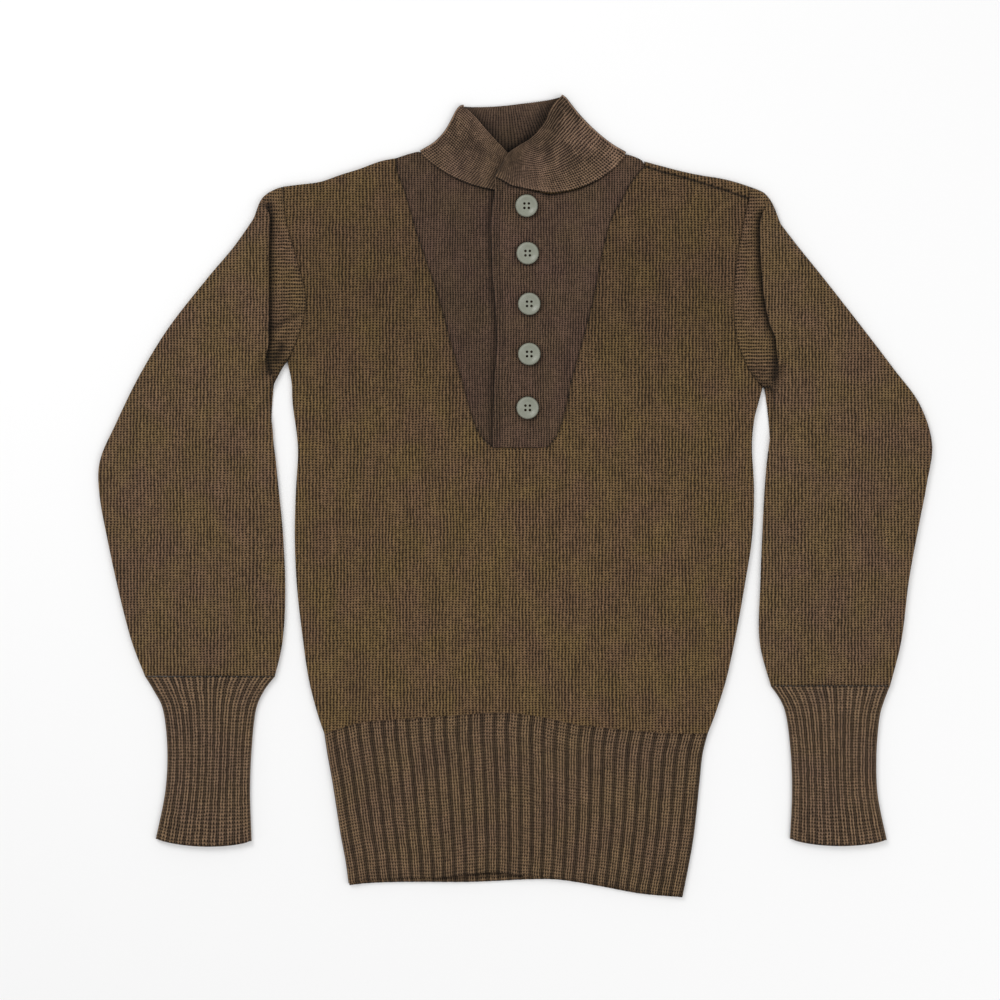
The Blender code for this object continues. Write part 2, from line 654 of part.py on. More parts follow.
def make_sleeve(name, armhole, crease, cap, pit, rings, outward, finish, collection):
    """A flattened sleeve, with the tuck that its upper side makes over the armhole."""
    arm = [(x + outward * SEAM, y) for x, y in armhole[:-1]]
    steps = shares(armhole[:-1])
    low, high = KNIT / 2, FRONT_Z + KNIT / 2
    turn = (high - low) / 2
    last = len(steps) - 1
    stops = [("armhole", 0.0, 0.0, 0.0)] + TUCK_RINGS
    tops = [along(cap, stop[3]) for stop in stops] + [(ring[0], ring[1]) for ring in rings]
    feet = [along(pit, stop[3]) for stop in stops] + [(ring[2], ring[3]) for ring in rings]
    outers = insets(tops, turn, -outward)
    inners = insets(feet, turn, outward)
    outers[0], inners[0] = arm[-1], arm[0]
    tops[0] = (arm[-1][0], arm[-1][1] + turn)
    feet[0] = (arm[0][0], arm[0][1] - turn)
    whole = []
    for j, (top_edge, foot_edge, outer, inner) in enumerate(zip(tops, feet, outers, inners)):
        if j < len(stops):
            kind, offset, layer, share = stops[j]
            upper = tuck_ring(kind, offset, layer, arm, crease, steps, outward, high)
            under = []
            for s, place in zip(steps, arm):
                straight = mix(inner, outer, s)
                stray = [p - q for p, q in zip(place, mix(arm[0], arm[-1], s))]
                under.append((straight[0] + stray[0] * (1 - share),
                              straight[1] + stray[1] * (1 - share), low))
        else:
            upper, under = [], []
            least = TUCK_CLEAR * (j - len(stops) + 1)
            for k, s in enumerate(steps):
                x, y = mix(inner, outer, s)
                under.append((x, y, low))
                line = along(crease, s)
                short = max(0.0, least - outward * (x - line[0]))
                x += outward * short * TUCK_LIFT[k] * ramp(y - line[1], -30, -8)
                reach = math.hypot(x - line[0], y - line[1])
                z = high + sleeve_height(reach, TUCK_LIFT[k], s) + relief(x, y) * 0.5
                upper.append((x, y, z))
        for end, place in ((0, inner), (last, outer)):
            upper[end] = (*place, high)
            under[end] = (*place, low)
        whole.append(ring_of(upper, under, foot_edge, top_edge, turn, low + turn))
    across, down = Vector((1.0, 0.0, 0.0)), Vector((0.0, 1.0, 0.0))
    shell(name, whole, KNIT / 2 - SLEEVE_PINCH, KNIT / 2, -outward, across, down, finish, collection)


def ring_of(upper, under, foot_edge, top_edge, turn, middle):
    """One closed ring: up the front, over the outer fold, down the back, round the inner fold."""
    ring = list(upper)
    ring += fold_points(upper[-1][:2], top_edge, turn, middle, 1)
    ring += list(reversed(under))
    ring += fold_points(under[0][:2], foot_edge, turn, middle, -1)
    ring.append(ring[0])
    return ring


def make_cuff(name, rings, outward, finish, collection):
    """A flattened ribbed tube, its ribs raised on the upper side."""
    low, high = CUFF_GROUND / 2, KNIT / 2 + LAYER + CUFF_GROUND
    turn = (high - low) / 2
    rows = []
    strengths = (0.1, 0.6, 1.0, 1.0, 1.0, 0.6)
    for (ox, ix, oy, iy), strength in zip(rings, strengths):
        is_foot = (ox, ix, oy, iy) == rings[-1]
        loop = []
        stops = []
        for rib in range(CUFF_RIBS):
            stops += [((rib + part) / CUFF_RIBS, rise)
                      for part, rise in ((0.0, 0.0), (0.25, 1.0), (0.72, 1.0))]
        stops.append((1.0, 0.0))
        width = abs(ox - ix) - 2 * turn
        for share, rise in stops:
            x = ix + outward * (turn + width * share)
            y = iy + (oy - iy) * share
            belly = CUFF_BELLY * math.sin(math.pi * share) ** 0.6 if is_foot else 0.0
            swell = 1.3 * math.sin(math.pi * share) ** 0.7
            z = high + swell
            up = CUFF_GROUND / 2 + RIB_RISE * rise * strength
            loop.append(((x, y - belly, z - CUFF_GROUND / 2), (x, y - belly, z + up)))
        loop += cuff_fold(loop[-1][0][0], loop[-1][0][1], outward, turn, low + turn, CUFF_GROUND, 1)
        for share in (1.0, 0.8, 0.6, 0.4, 0.2, 0.0):
            x = ix + outward * (turn + width * share)
            y = iy + (oy - iy) * share
            belly = (CUFF_BELLY + 1.5) * math.sin(math.pi * share) ** 0.6 if is_foot else 0.0
            loop.append(((x, y - belly, low + CUFF_GROUND / 2), (x, y - belly, 0.0)))
        loop += cuff_fold(loop[-1][0][0], loop[-1][0][1], -outward, turn, low + turn, CUFF_GROUND, -1)
        loop.append(loop[0])
        rows.append(loop)
    wall(name, [rows], finish, collection)


def cuff_fold(x, y, outward, turn, middle, thick, way):
    """Under and upper points round one fold of a cuff."""
    pairs = []
    for angle in (50, 0, -50):
        c, s = math.cos(math.radians(angle)), way * math.sin(math.radians(angle))
        near, far = turn - thick / 2, turn + thick / 2
        pairs.append(((x + outward * near * c, y, middle + near * s),
                      (x + outward * far * c, y, middle + far * s)))
    return pairs


def placket_top(x, y):
    """Height of the placket's face at a place."""
    return FRONT_Z + relief(x, y) + placket_rise(y) + INSERT


def make_buttons(finish, collection, cutters):
    """Five turned buttons with a wide rim, a slight dish and four holes."""
    profile = [(0.0, 2.2), (5.4, 2.3), (8.2, BUTTON_HEIGHT), (9.8, 3.2),
               (BUTTON_RADIUS, 1.8), (8.4, 0.0), (0.0, 0.0)]
    mesh = bpy.data.meshes.new("button profile")
    mesh.from_pydata([(x * MM, 0, z * MM) for x, z in profile],
                     [(i, i + 1) for i in range(len(profile) - 1)], [])
    turned = bpy.data.objects.new("button blank", mesh)
    collection.objects.link(turned)
    screw = turned.modifiers.new("turn", "SCREW")
    screw.steps = 22
    screw.render_steps = 22
    screw.use_merge_vertices = True
    screw.merge_threshold = 0.00001
    holes = bmesh.new()
    for sx in (-1, 1):
        for sy in (-1, 1):
            made = bmesh.ops.create_cone(holes, cap_ends=True, segments=6, depth=10 * MM,
                                         radius1=HOLE_RADIUS * MM, radius2=HOLE_RADIUS * MM)
            bmesh.ops.translate(holes, verts=made["verts"],
                                vec=(sx * HOLE_SPACING * MM, sy * HOLE_SPACING * MM, 0))
    hole_mesh = bpy.data.meshes.new("button holes")
    holes.to_mesh(hole_mesh)
    holes.free()
    pins = bpy.data.objects.new("button holes", hole_mesh)
    pins.hide_render = True
    pins.display_type = "WIRE"
    cutters.objects.link(pins)
    cut = turned.modifiers.new("holes", "BOOLEAN")
    cut.operation = "DIFFERENCE"
    cut.object = pins
    bpy.context.view_layer.update()
    graph = bpy.context.evaluated_depsgraph_get()
    button = bpy.data.meshes.new_from_object(turned.evaluated_get(graph))
    button.materials.append(finish)
    button.shade_smooth()
    button.set_sharp_from_angle(angle=math.radians(40))
    bpy.data.objects.remove(turned, do_unlink=True)
    for name, x, y in BUTTONS:
        thing = bpy.data.objects.new(name, button)
        seat = max(placket_top(x + dx, y + dy) for dx in (-8, 0, 8) for dy in (-8, 0, 8))
        thing.location = (x * MM, y * MM, (seat + BUTTON_SEAT) * MM)
        slope = (placket_rise(y + 8) - placket_rise(y - 8)) / 16
        if slope > 0.02:
            thing.location.z = (placket_top(x, y) + TILT_SEAT) * MM
            thing.rotation_euler = (math.atan(slope), 0.0, 0.0)
        collection.objects.link(thing)


def main():
    clear_scene()
    part = bpy.data.collections.new("henley sweater")
    cutters = bpy.data.collections.new("cutters")
    bpy.context.scene.collection.children.link(part)
    bpy.context.scene.collection.children.link(cutters)
    knit = material("body knit", COLOURS["body"], 0.95)
    fine = material("insert knit", COLOURS["insert"], 0.95)
    stand = material("collar rib", COLOURS["collar"], 0.95)
    rib = material("hem and cuff rib", COLOURS["rib"], 0.95)
    arm = material("sleeve knit", COLOURS["sleeve"], 0.95)
    plastic = material("button plastic", COLOURS["button"], 0.4)
    make_back(knit, part)
    make_front(knit, part)
    make_inserts(fine, part)
    make_collar(stand, part)
    make_hem(rib, part)
    make_sleeve("sleeve_left", ARMHOLE_LEFT, CREASE_LEFT, CAP_LEFT, PIT_LEFT, RINGS_LEFT, -1,
                arm, part)
    make_sleeve("sleeve_right", ARMHOLE_RIGHT, CREASE_RIGHT, CAP_RIGHT, PIT_RIGHT, RINGS_RIGHT, 1,
                arm, part)
    make_cuff("cuff_left", CUFF_LEFT, -1, rib, part)
    make_cuff("cuff_right", CUFF_RIGHT, 1, rib, part)
    make_buttons(plastic, part, cutters)


main()
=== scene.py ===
# %% [markdown]
# # A henley sweater laid out flat
#
# The real thing is a knitted pullover: front and back panels in plain knit, a finer chest insert
# that opens with five buttons, a double stand collar in fine rib, two sleeves that fold over
# their own armholes, ribbed cuffs and a deep ribbed hem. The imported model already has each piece
# as a solid of the right size. This lesson dresses those solids in cloth with real ribs, folded
# sides and a knitted surface.

# %% Load the frame
import math
from bisect import bisect_left
from functools import partial

import bpy
import bmesh
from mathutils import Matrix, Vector, kdtree, noise


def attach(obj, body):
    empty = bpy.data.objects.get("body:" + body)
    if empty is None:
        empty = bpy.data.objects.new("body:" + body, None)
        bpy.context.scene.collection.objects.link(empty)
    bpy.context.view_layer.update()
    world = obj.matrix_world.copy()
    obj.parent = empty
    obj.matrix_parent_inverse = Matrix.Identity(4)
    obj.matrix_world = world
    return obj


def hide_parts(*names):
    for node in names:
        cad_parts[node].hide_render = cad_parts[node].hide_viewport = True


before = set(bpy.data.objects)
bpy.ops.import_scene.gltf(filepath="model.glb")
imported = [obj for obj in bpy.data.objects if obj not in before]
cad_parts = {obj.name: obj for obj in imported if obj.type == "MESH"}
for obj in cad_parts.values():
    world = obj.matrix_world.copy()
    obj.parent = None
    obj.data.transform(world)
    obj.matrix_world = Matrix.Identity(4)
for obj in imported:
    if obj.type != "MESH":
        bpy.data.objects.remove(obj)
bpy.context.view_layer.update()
print("pieces in the frame:", len(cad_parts))

# %% [markdown]
# ## Table, light and camera
#
# The sweater lies on a pale table and is seen from straight above, so the camera looks down with
# a long lens. Its frame is 0.95 metres wide. Two large soft lamps keep the shadows short, and a
# bright sky fills them. The Standard view leaves the white of the table white.

# %% Table, light and camera
MM = 0.001
PIXEL = 0.95 * MM
FRAME_PIXELS = 1000
VIEW_HEIGHT = 3.0
SENSOR = 36
TABLE_DROP = 0.3 * MM
VIEW_CENTRE = (-15.2 * MM, -3.3 * MM)

table_mesh = bpy.data.meshes.new("table")
table_shape = bmesh.new()
bmesh.ops.create_grid(table_shape, x_segments=1, y_segments=1, size=4.0)
bmesh.ops.translate(table_shape, verts=table_shape.verts, vec=(0, 0, -TABLE_DROP))
table_shape.to_mesh(table_mesh)
table_shape.free()
table = bpy.data.objects.new("table", table_mesh)
bpy.context.scene.collection.objects.link(table)

paper = bpy.data.materials.new("table top")
paper.use_nodes = True
paper_shader = paper.node_tree.nodes["Principled BSDF"]
paper_shader.inputs["Base Color"].default_value = (0.93, 0.93, 0.93, 1)
paper_shader.inputs["Roughness"].default_value = 0.9
table_mesh.materials.append(paper)

camera_data = bpy.data.cameras.new("camera")
camera_data.sensor_width = SENSOR
camera_data.lens = SENSOR * VIEW_HEIGHT / (FRAME_PIXELS * PIXEL)
camera = bpy.data.objects.new("camera", camera_data)
camera.location = (*VIEW_CENTRE, VIEW_HEIGHT)
bpy.context.scene.collection.objects.link(camera)
bpy.context.scene.camera = camera


def lamp(name, place, size, watts):
    """A square lamp that faces the middle of the sweater."""
    data = bpy.data.lights.new(name, "AREA")
    data.energy = watts
    data.size = size
    thing = bpy.data.objects.new(name, data)
    thing.location = place
    thing.rotation_euler = Vector(place).to_track_quat("Z", "Y").to_euler()
    bpy.context.scene.collection.objects.link(thing)


lamp("window", (-1.5, 1.6, 1.9), 1.2, 30)
lamp("fill", (1.7, -0.8, 2.1), 1.8, 20)
sky = bpy.data.worlds.new("sky")
sky.use_nodes = True
sky_light = sky.node_tree.nodes["Background"]
sky_light.inputs["Color"].default_value = (1.0, 1.0, 1.0, 1)
sky_light.inputs["Strength"].default_value = 0.66
bpy.context.scene.world = sky
bpy.context.scene.view_settings.view_transform = "Standard"

# %% [markdown]
# ## Lines and patches
#
# A pattern cutter draws each piece as a few curved lines. Here a line is a list of points in
# millimetres, X along the chest and Y up towards the collar, made smooth with a Catmull-Rom
# curve. A Coons patch then fills four such lines with rows of points, which keeps the knit's
# rows parallel to the edges that it grows from.


# %% Lines and patches
def even(count):
    """Even shares from 0 to 1."""
    return [i / count for i in range(count + 1)]


def near_ends(length, pitch, start=(), end=()):
    """Shares of a length at a pitch, with extra places at distances from its two ends."""
    first = start[-1] if start else 0.0
    last = length - (end[-1] if end else 0.0)
    count = max(1, round((last - first) / pitch))
    places = list(start[:-1]) + [first + (last - first) * s for s in even(count)]
    places += [length - d for d in reversed(end[:-1])]
    return [p / length for p in places]


def smooth(points, first=0, last=None):
    """Many points of the smooth curve between two of the points that it goes through."""
    last = len(points) - 1 if last is None else last
    ends = [points[0], *points, points[-1]]
    dense = []
    for a, b, c, d in list(zip(ends, ends[1:], ends[2:], ends[3:]))[first:last]:
        for t in (i / 12 for i in range(12)):
            dense.append(tuple(
                0.5 * (2 * q + (r - p) * t + (2 * p - 5 * q + 4 * r - s) * t * t
                       + (3 * q - p - 3 * r + s) * t ** 3) for p, q, r, s in zip(a, b, c, d)))
    dense.append(tuple(points[last]))
    return dense


def shares(points):
    """How far along a line each of its points lies, from 0 to 1."""
    far = [0.0]
    for a, b in zip(points, points[1:]):
        far.append(far[-1] + math.dist(a, b))
    return [d / far[-1] for d in far]


def length_of(points):
    return sum(math.dist(a, b) for a, b in zip(points, points[1:]))


def sample(points, steps):
    """Points of a line at shares of its length."""
    far = shares(points)
    found = []
    for step in steps:
        k = min(max(1, bisect_left(far, step)), len(points) - 1)
        part = (step - far[k - 1]) / max(1e-9, far[k] - far[k - 1])
        part = min(1.0, max(0.0, part))
        found.append(tuple(p + (q - p) * part for p, q in zip(points[k - 1], points[k])))
    return found


def mix(a, b, share):
    return tuple(p + (q - p) * share for p, q in zip(a, b))


def ramp(value, start, end):
    """A smooth step from 0 at start to 1 at end."""
    share = min(1.0, max(0.0, (value - start) / (end - start)))
    return share * share * (3 - 2 * share)


def patch(foot, top, left, right):
    """Rows of plan points between four lines."""
    foot_share, top_share = shares(foot), shares(top)
    rows = []
    for v0, v1, a, b in zip(shares(left), shares(right), left, right):
        v = (v0 + v1) / 2
        row = []
        for u0, u1, c, d in zip(foot_share, top_share, foot, top):
            u = (1 - v) * u0 + v * u1
            row.append(tuple(
                (1 - v) * c[k] + v * d[k] + (1 - u) * a[k] + u * b[k]
                - (1 - u) * (1 - v) * foot[0][k] - u * (1 - v) * foot[-1][k]
                - (1 - u) * v * top[0][k] - u * v * top[-1][k] for k in (0, 1)))
        rows.append(row)
    return rows


# %% [markdown]
# ## Heights
#
# Cloth on a table is never quite level: it keeps soft ridges where it was folded and where the
# armholes pull on it. Each ridge is a line with a width and a height, and a little smooth noise
# keeps the surface between them alive. An edge then bends the cloth down: a side fold goes right
# round, a seam only dips.

# %% Heights
KNIT, INSERT, COLLAR, LAYER = 2.2, 1.8, 2.8, 0.3
FRONT_Z = KNIT + LAYER
BODY_MIDDLE = (KNIT + FRONT_Z) / 2
FOLD = 4.2
FOLD_STEPS = (0.0, 0.12, 0.5, 1.3, 2.5, FOLD)
FOLD_FADE = 6
SEAM_STEPS = (0.0, 0.7, 1.5, 2.8)
SEAM_WIDTH = 1.4
MOST_RELIEF = 2.6
# Each ridge: the two ends of its line, its width and its rise, all in mm
RIDGES = [(-150, 250, -120, 60, 34, 1.6), (-60, 20, -30, -170, 30, 1.4),
          (70, 20, 60, -170, 34, 1.4), (150, 230, 165, 60, 30, 1.6),
          (-160, -10, -150, -170, 24, 1.3), (170, -10, 158, -170, 24, 1.3),
          (-205, 167, -233, 150, 7, 2.4), (-120, -196, 120, -198, 11, 1.2),
          (0, 230, 8, 120, 20, 0.5), (-302, 120, -345, 20, 30, 1.4),
          (-262, 90, -268, -110, 26, 1.6), (-345, 0, -330, -140, 24, 1.5),
          (300, 120, 345, 25, 30, 1.4), (276, 80, 282, -115, 26, 1.6),
          (352, 0, 338, -140, 22, 1.5), (-60, -359, -8, -358, 16, 2.2)]


def relief(x, y):
    """Height of the soft ridges and of the small unevenness of laid cloth."""
    height = 0.0
    for x0, y0, x1, y1, width, rise in RIDGES:
        dx, dy = x1 - x0, y1 - y0
        share = ((x - x0) * dx + (y - y0) * dy) / (dx * dx + dy * dy)
        share = min(1.0, max(0.0, share))
        gap = math.hypot(x - x0 - share * dx, y - y0 - share * dy)
        height += rise * math.exp(-(gap / width) ** 2)
    small = noise.noise((x / 26, y / 48, 0.0)) * 0.35 + noise.noise((x / 9, y / 30, 4.0)) * 0.12
    return min(height, MOST_RELIEF) + small


def raised(rows, level, edges):
    """Give plan rows their height: the level of the cloth, bent by what its edges do."""
    solid = []
    for row in rows:
        line = []
        for i, (x, y) in enumerate(row):
            gaps = {"left": math.dist(row[0], (x, y)), "right": math.dist(row[-1], (x, y)),
                    "foot": math.dist(rows[0][i], (x, y)), "top": math.dist(rows[-1][i], (x, y))}
            z = level(x, y)
            for side, (kind, size) in edges.items():
                gap = gaps[side]
                if kind == "fold" and gap < FOLD:
                    z = size + (z - size) * math.sqrt(1 - (1 - gap / FOLD) ** 2)
                elif kind == "seam":
                    z -= size * math.exp(-(gap / SEAM_WIDTH) ** 2)
                elif kind == "round" and gap < size:
                    z -= size * (1 - math.sqrt(1 - (1 - gap / size) ** 2))
            line.append((x, y, z))
        solid.append(line)
    return solid


# %% [markdown]
# ## From rows to cloth
#
# Every piece starts as grids from the create_grid operator, whose corners are then put on the
# rows. The stitch count at each corner goes into the UV map, one wale for each unit of U and one
# course for each unit of V, so that the knitted finish follows the cloth round every fold. A
# Solidify modifier gives the cloth its wall.
#
# Wool in a seam or under a fold gets little light. Soft lamps show that only in part, so each
# point of a piece also carries a number named light, 1 in the open and less beside the lines
# that are listed as its hollows, and the finish is darkened by it.


# %% From rows to cloth
HOLLOW_PITCH = 0.6


def lay_grid(shape, rows, counts):
    """Add a grid on rows of points, with the stitch count of each corner as its UV."""
    wide, tall = len(rows[0]) - 1, len(rows) - 1
    made = bmesh.ops.create_grid(shape, x_segments=wide, y_segments=tall, size=0.5)
    stitch = shape.loops.layers.uv.verify()
    count_at = {}
    for vert in made["verts"]:
        i, j = round((vert.co.x + 0.5) * wide), round((vert.co.y + 0.5) * tall)
        vert.co = Vector(rows[j][i]) * MM
        count_at[vert] = counts[j][i]
    for vert in made["verts"]:
        for loop in vert.link_loops:
            loop[stitch].uv = count_at[vert]


def hollow(points, width, depth, below=99.0):
    """A line beside which the cloth lies in the dark.

    The dark has a width in mm and a depth, the share of light it takes, and it reaches only the
    points that lie lower than below.
    """
    count = max(1, round(length_of(points) / HOLLOW_PITCH))
    tree = kdtree.KDTree(count + 1)
    for i, (x, y) in enumerate(sample(points, even(count))):
        tree.insert((x, y, 0.0), i)
    tree.balance()
    return tree, width, depth, below


def cloth(name, shape, finish, wall, nodes, offset=-1.0, edge=0.0, hollows=()):
    """Turn a shape into a piece of cloth that stands for CAD nodes."""
    bmesh.ops.remove_doubles(shape, verts=shape.verts, dist=0.004 * MM)
    layer = shape.verts.layers.float.new("light")
    for vert in shape.verts:
        x, y, z = vert.co / MM
        light = 1.0
        for tree, width, depth, below in hollows:
            if z < below:
                gap = tree.find((x, y, 0.0))[2]
                light *= 1 - depth * math.exp(-(gap / width) ** 2)
        vert[layer] = light
    mesh = bpy.data.meshes.new(name)
    shape.to_mesh(mesh)
    shape.free()
    mesh.uv_layers[0].name = "stitches"
    mesh.materials.append(finish)
    mesh.shade_smooth()
    piece = bpy.data.objects.new(name, mesh)
    bpy.context.scene.collection.objects.link(piece)
    solid = piece.modifiers.new("wall", "SOLIDIFY")
    solid.thickness = wall * MM
    solid.offset = offset
    if edge:
        bevel = piece.modifiers.new("edge", "BEVEL")
        bevel.width = edge * MM
        bevel.segments = 3
        bevel.limit_method = "ANGLE"
        bevel.angle_limit = math.radians(55)
    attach(piece, "root")
    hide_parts(*nodes)
    print(name, len(mesh.polygons), "faces")
    return piece


def planar(rows, wale, course, turned=False):
    """Stitch counts of a piece whose wales run up the table, or across it when turned."""
    counts = []
    for row in rows:
        line = []
        for point in row:
            x, y = (point[1], point[0]) if turned else (point[0], point[1])
            x += 1.6 * noise.noise((x / 30, y / 90, 1.0))
            line.append((x / wale, y / course))
        counts.append(line)
    return counts


# %% [markdown]
# ## The knitted finish
#
# Plain knit shows columns of small V shapes, the wales. Each leg of a V is a strand that bulges
# between two gaps. The finish draws that from the stitch count: the distance from the middle of
# the wale says how far out on the V it is, and the course count, slanted along the leg, says
# where on the strand. The same height drives a bump, and it darkens the colour where the yarn
# lies low: a painted shade in the gaps between strands. Wool of mixed fibres is never one brown,
# so two tones wander over it, and single stitches differ a little. In a rib, the wales that lie
# back are in the shade of the ones that stand up.


# %% The knitted finish
def calculate(tree, operation, *values):
    """A Math node on sockets and numbers."""
    node = tree.nodes.new("ShaderNodeMath")
    node.operation = operation
    for socket, value in zip(node.inputs, values):
        if isinstance(value, (int, float)):
            socket.default_value = value
        else:
            tree.links.new(value, socket)
    return node.outputs[0]


def blend(tree, share, first, second, mode="MIX"):
    """A Mix node on colours."""
    node = tree.nodes.new("ShaderNodeMix")
    node.data_type = "RGBA"
    node.blend_type = mode
    for index, value in ((0, share), (6, first), (7, second)):
        socket = node.inputs[index]
        if isinstance(value, (int, float)):
            socket.default_value = value
        elif isinstance(value, tuple):
            socket.default_value = (*value, 1.0)
        else:
            tree.links.new(value, socket)
    return node.outputs[2]


def clouds(tree, scale, detail=2.0, stretch=None):
    """Noise over the object, its features a thousand over scale millimetres wide."""
    place = tree.nodes.new("ShaderNodeTexCoord")
    node = tree.nodes.new("ShaderNodeTexNoise")
    node.inputs["Scale"].default_value = scale
    node.inputs["Detail"].default_value = detail
    source = place.outputs["Object"]
    if stretch:
        mapping = tree.nodes.new("ShaderNodeMapping")
        mapping.inputs["Scale"].default_value = stretch
        tree.links.new(source, mapping.inputs["Vector"])
        source = mapping.outputs["Vector"]
    tree.links.new(source, node.inputs["Vector"])
    return node.outputs["Fac"]


def widened(tree, value, low, high):
    """Stretch the middle of a noise, from low to high, over 0 to 1."""
    node = tree.nodes.new("ShaderNodeMapRange")
    node.inputs["From Min"].default_value = low
    node.inputs["From Max"].default_value = high
    tree.links.new(value, node.inputs["Value"])
    return node.outputs[0]


# %% Stitches
# Height of the yarn where it is full, how deep a hole goes, and the least height that is left
YARN, HOLE, LEAST = 1.78, 1.9, 0.12


def stitch_counts(tree):
    """The wale as it was counted, then the wale and the course with a soft sway."""
    stitches = tree.nodes.new("ShaderNodeUVMap")
    stitches.uv_map = "stitches"
    split = tree.nodes.new("ShaderNodeSeparateXYZ")
    tree.links.new(stitches.outputs["UV"], split.inputs[0])
    maths = partial(calculate, tree)
    swayed = []
    for count, scale, most in ((split.outputs[0], 140, 0.7), (split.outputs[1], 90, 1.2)):
        about_zero = maths("SUBTRACT", clouds(tree, scale), 0.5)
        sway = maths("MULTIPLY", about_zero, most)
        swayed.append(maths("ADD", count, sway))
    return split.outputs[0], *swayed


def stitch_height(tree, side, run, wales, courses):
    """Height of the yarn: full on the legs, low between wales and courses, a hole at both."""
    maths = partial(calculate, tree)
    crowd = widened(tree, clouds(tree, 1.0, 2.0, (70.0, 34.0, 20.0)), 0.38, 0.62)
    upright = maths("MULTIPLY_ADD", crowd, 0.6 * wales, 0.25 * wales)
    level = maths("MULTIPLY_ADD", crowd, -0.3 * courses, 0.5 * courses)
    waves = []
    for place in (side, run):
        wave = maths("COSINE", maths("MULTIPLY", place, 2 * math.pi))
        waves.append(maths("MULTIPLY_ADD", wave, -0.5, 0.5))
    between, gap = waves
    hole = maths("MULTIPLY", between, gap)
    height = maths("MULTIPLY_ADD", hole, -HOLE, YARN)
    height = maths("SUBTRACT", height, maths("MULTIPLY", between, upright))
    height = maths("SUBTRACT", height, maths("MULTIPLY", gap, level))
    return maths("MAXIMUM", height, LEAST)


def stitch_light(tree, wale, run):
    """How light each single stitch is, with streaks of lighter and darker yarn."""
    maths = partial(calculate, tree)
    cell = tree.nodes.new("ShaderNodeCombineXYZ")
    tree.links.new(maths("FLOOR", wale), cell.inputs[0])
    tree.links.new(maths("FLOOR", run), cell.inputs[1])
    single = tree.nodes.new("ShaderNodeTexWhiteNoise")
    single.noise_dimensions = "2D"
    tree.links.new(cell.outputs[0], single.inputs["Vector"])
    light = maths("MULTIPLY_ADD", single.outputs["Value"], 0.44, 0.78)
    streak = clouds(tree, 1.0, 1.0, (150.0, 14.0, 20.0))
    return maths("MULTIPLY", light, maths("MULTIPLY_ADD", streak, 0.36, 0.82))


# %% The finishes
WOOL = {"Roughness": 0.94, "Specular IOR Level": 0.15, "Sheen Weight": 0.06,
        "Sheen Roughness": 0.5}
LYING_DARK = 0.55
BUMP = 0.6
YARN_RELIEF = 0.35


def knitted(name, olive, plum, wales, courses, ribs=None):
    """Wool in plain knit: its two tones, and how dark it is between wales and between courses,
    where its shade is painted.

    ribs is (wales in a rib, wales that stand up), and the rest of each rib lies deep.
    """
    finish = bpy.data.materials.new(name)
    finish.use_nodes = True
    tree = finish.node_tree
    maths = partial(calculate, tree)
    shader = tree.nodes["Principled BSDF"]
    for socket, value in WOOL.items():
        shader.inputs[socket].default_value = value
    count, wale, course = stitch_counts(tree)
    side = maths("SUBTRACT", maths("FRACT", wale), 0.5)
    side = maths("ABSOLUTE", side)
    run = maths("ADD", side, course)
    height = stitch_height(tree, side, run, wales, courses)
    # Painted shade: the colour darkens where the yarn lies low, in the gaps and holes between
    # stitches
    light = maths("MULTIPLY", stitch_light(tree, wale, run), height)
    # Painted shade: the wales of a rib that lie back are darkened
    if ribs:
        across, up = ribs
        place = maths("FLOORED_MODULO", count, across)
        lying = maths("GREATER_THAN", place, up)
        lying = maths("MULTIPLY_ADD", lying, -LYING_DARK, 1.0)
        light = maths("MULTIPLY", light, lying)
    # Painted shade: the light number of each point, lower beside its piece's hollows, darkens the
    # colour
    dusk = tree.nodes.new("ShaderNodeAttribute")
    dusk.attribute_name = "light"
    light = maths("MULTIPLY", light, dusk.outputs["Fac"])
    shade = tree.nodes.new("ShaderNodeCombineColor")
    for socket in shade.inputs[:3]:
        tree.links.new(light, socket)
    wool = blend(tree, widened(tree, clouds(tree, 26, 5.0), 0.36, 0.64), olive, plum)
    colour = blend(tree, 1.0, wool, shade.outputs[0], "MULTIPLY")
    tree.links.new(colour, shader.inputs["Base Color"])
    bump = tree.nodes.new("ShaderNodeBump")
    bump.inputs["Strength"].default_value = BUMP
    bump.inputs["Distance"].default_value = YARN_RELIEF * MM
    tree.links.new(height, bump.inputs["Height"])
    tree.links.new(bump.outputs[0], shader.inputs["Normal"])
    return finish


# The wales in one rib and how many of them stand up, and the share of its width that those take
HEM_WALES, CUFF_WALES = (5, 3), (3, 2)
HEM_UP_SHARE, CUFF_UP_SHARE = 0.68, 0.74
BODY_KNIT = knitted("body knit", (0.108, 0.068, 0.028), (0.104, 0.061, 0.032), 1.2, 1.0)
SLEEVE_KNIT = knitted("sleeve knit", (0.109, 0.069, 0.031), (0.106, 0.063, 0.036), 1.2, 1.0)
INSERT_KNIT = knitted("insert knit", (0.074, 0.046, 0.027), (0.072, 0.042, 0.029), 1.1, 0.5)
COLLAR_RIB = knitted("collar rib", (0.170, 0.108, 0.066), (0.160, 0.099, 0.067), 1.3, 0.3)
HEM_RIB = knitted("hem rib", (0.125, 0.080, 0.042), (0.118, 0.073, 0.043), 1.2, 1.2, HEM_WALES)
CUFF_RIB = knitted("cuff rib", (0.130, 0.083, 0.046), (0.121, 0.076, 0.047), 1.2, 1.2, CUFF_WALES)
KNITS = (BODY_KNIT, SLEEVE_KNIT, INSERT_KNIT, COLLAR_RIB, HEM_RIB, CUFF_RIB)
print("finishes:", [finish.name for finish in KNITS])

# %% [markdown]
# ## The body's lines
#
# These are the outlines that the panels share, read off the sweater as it lies, from the viewer's
# side: left is the viewer's left.

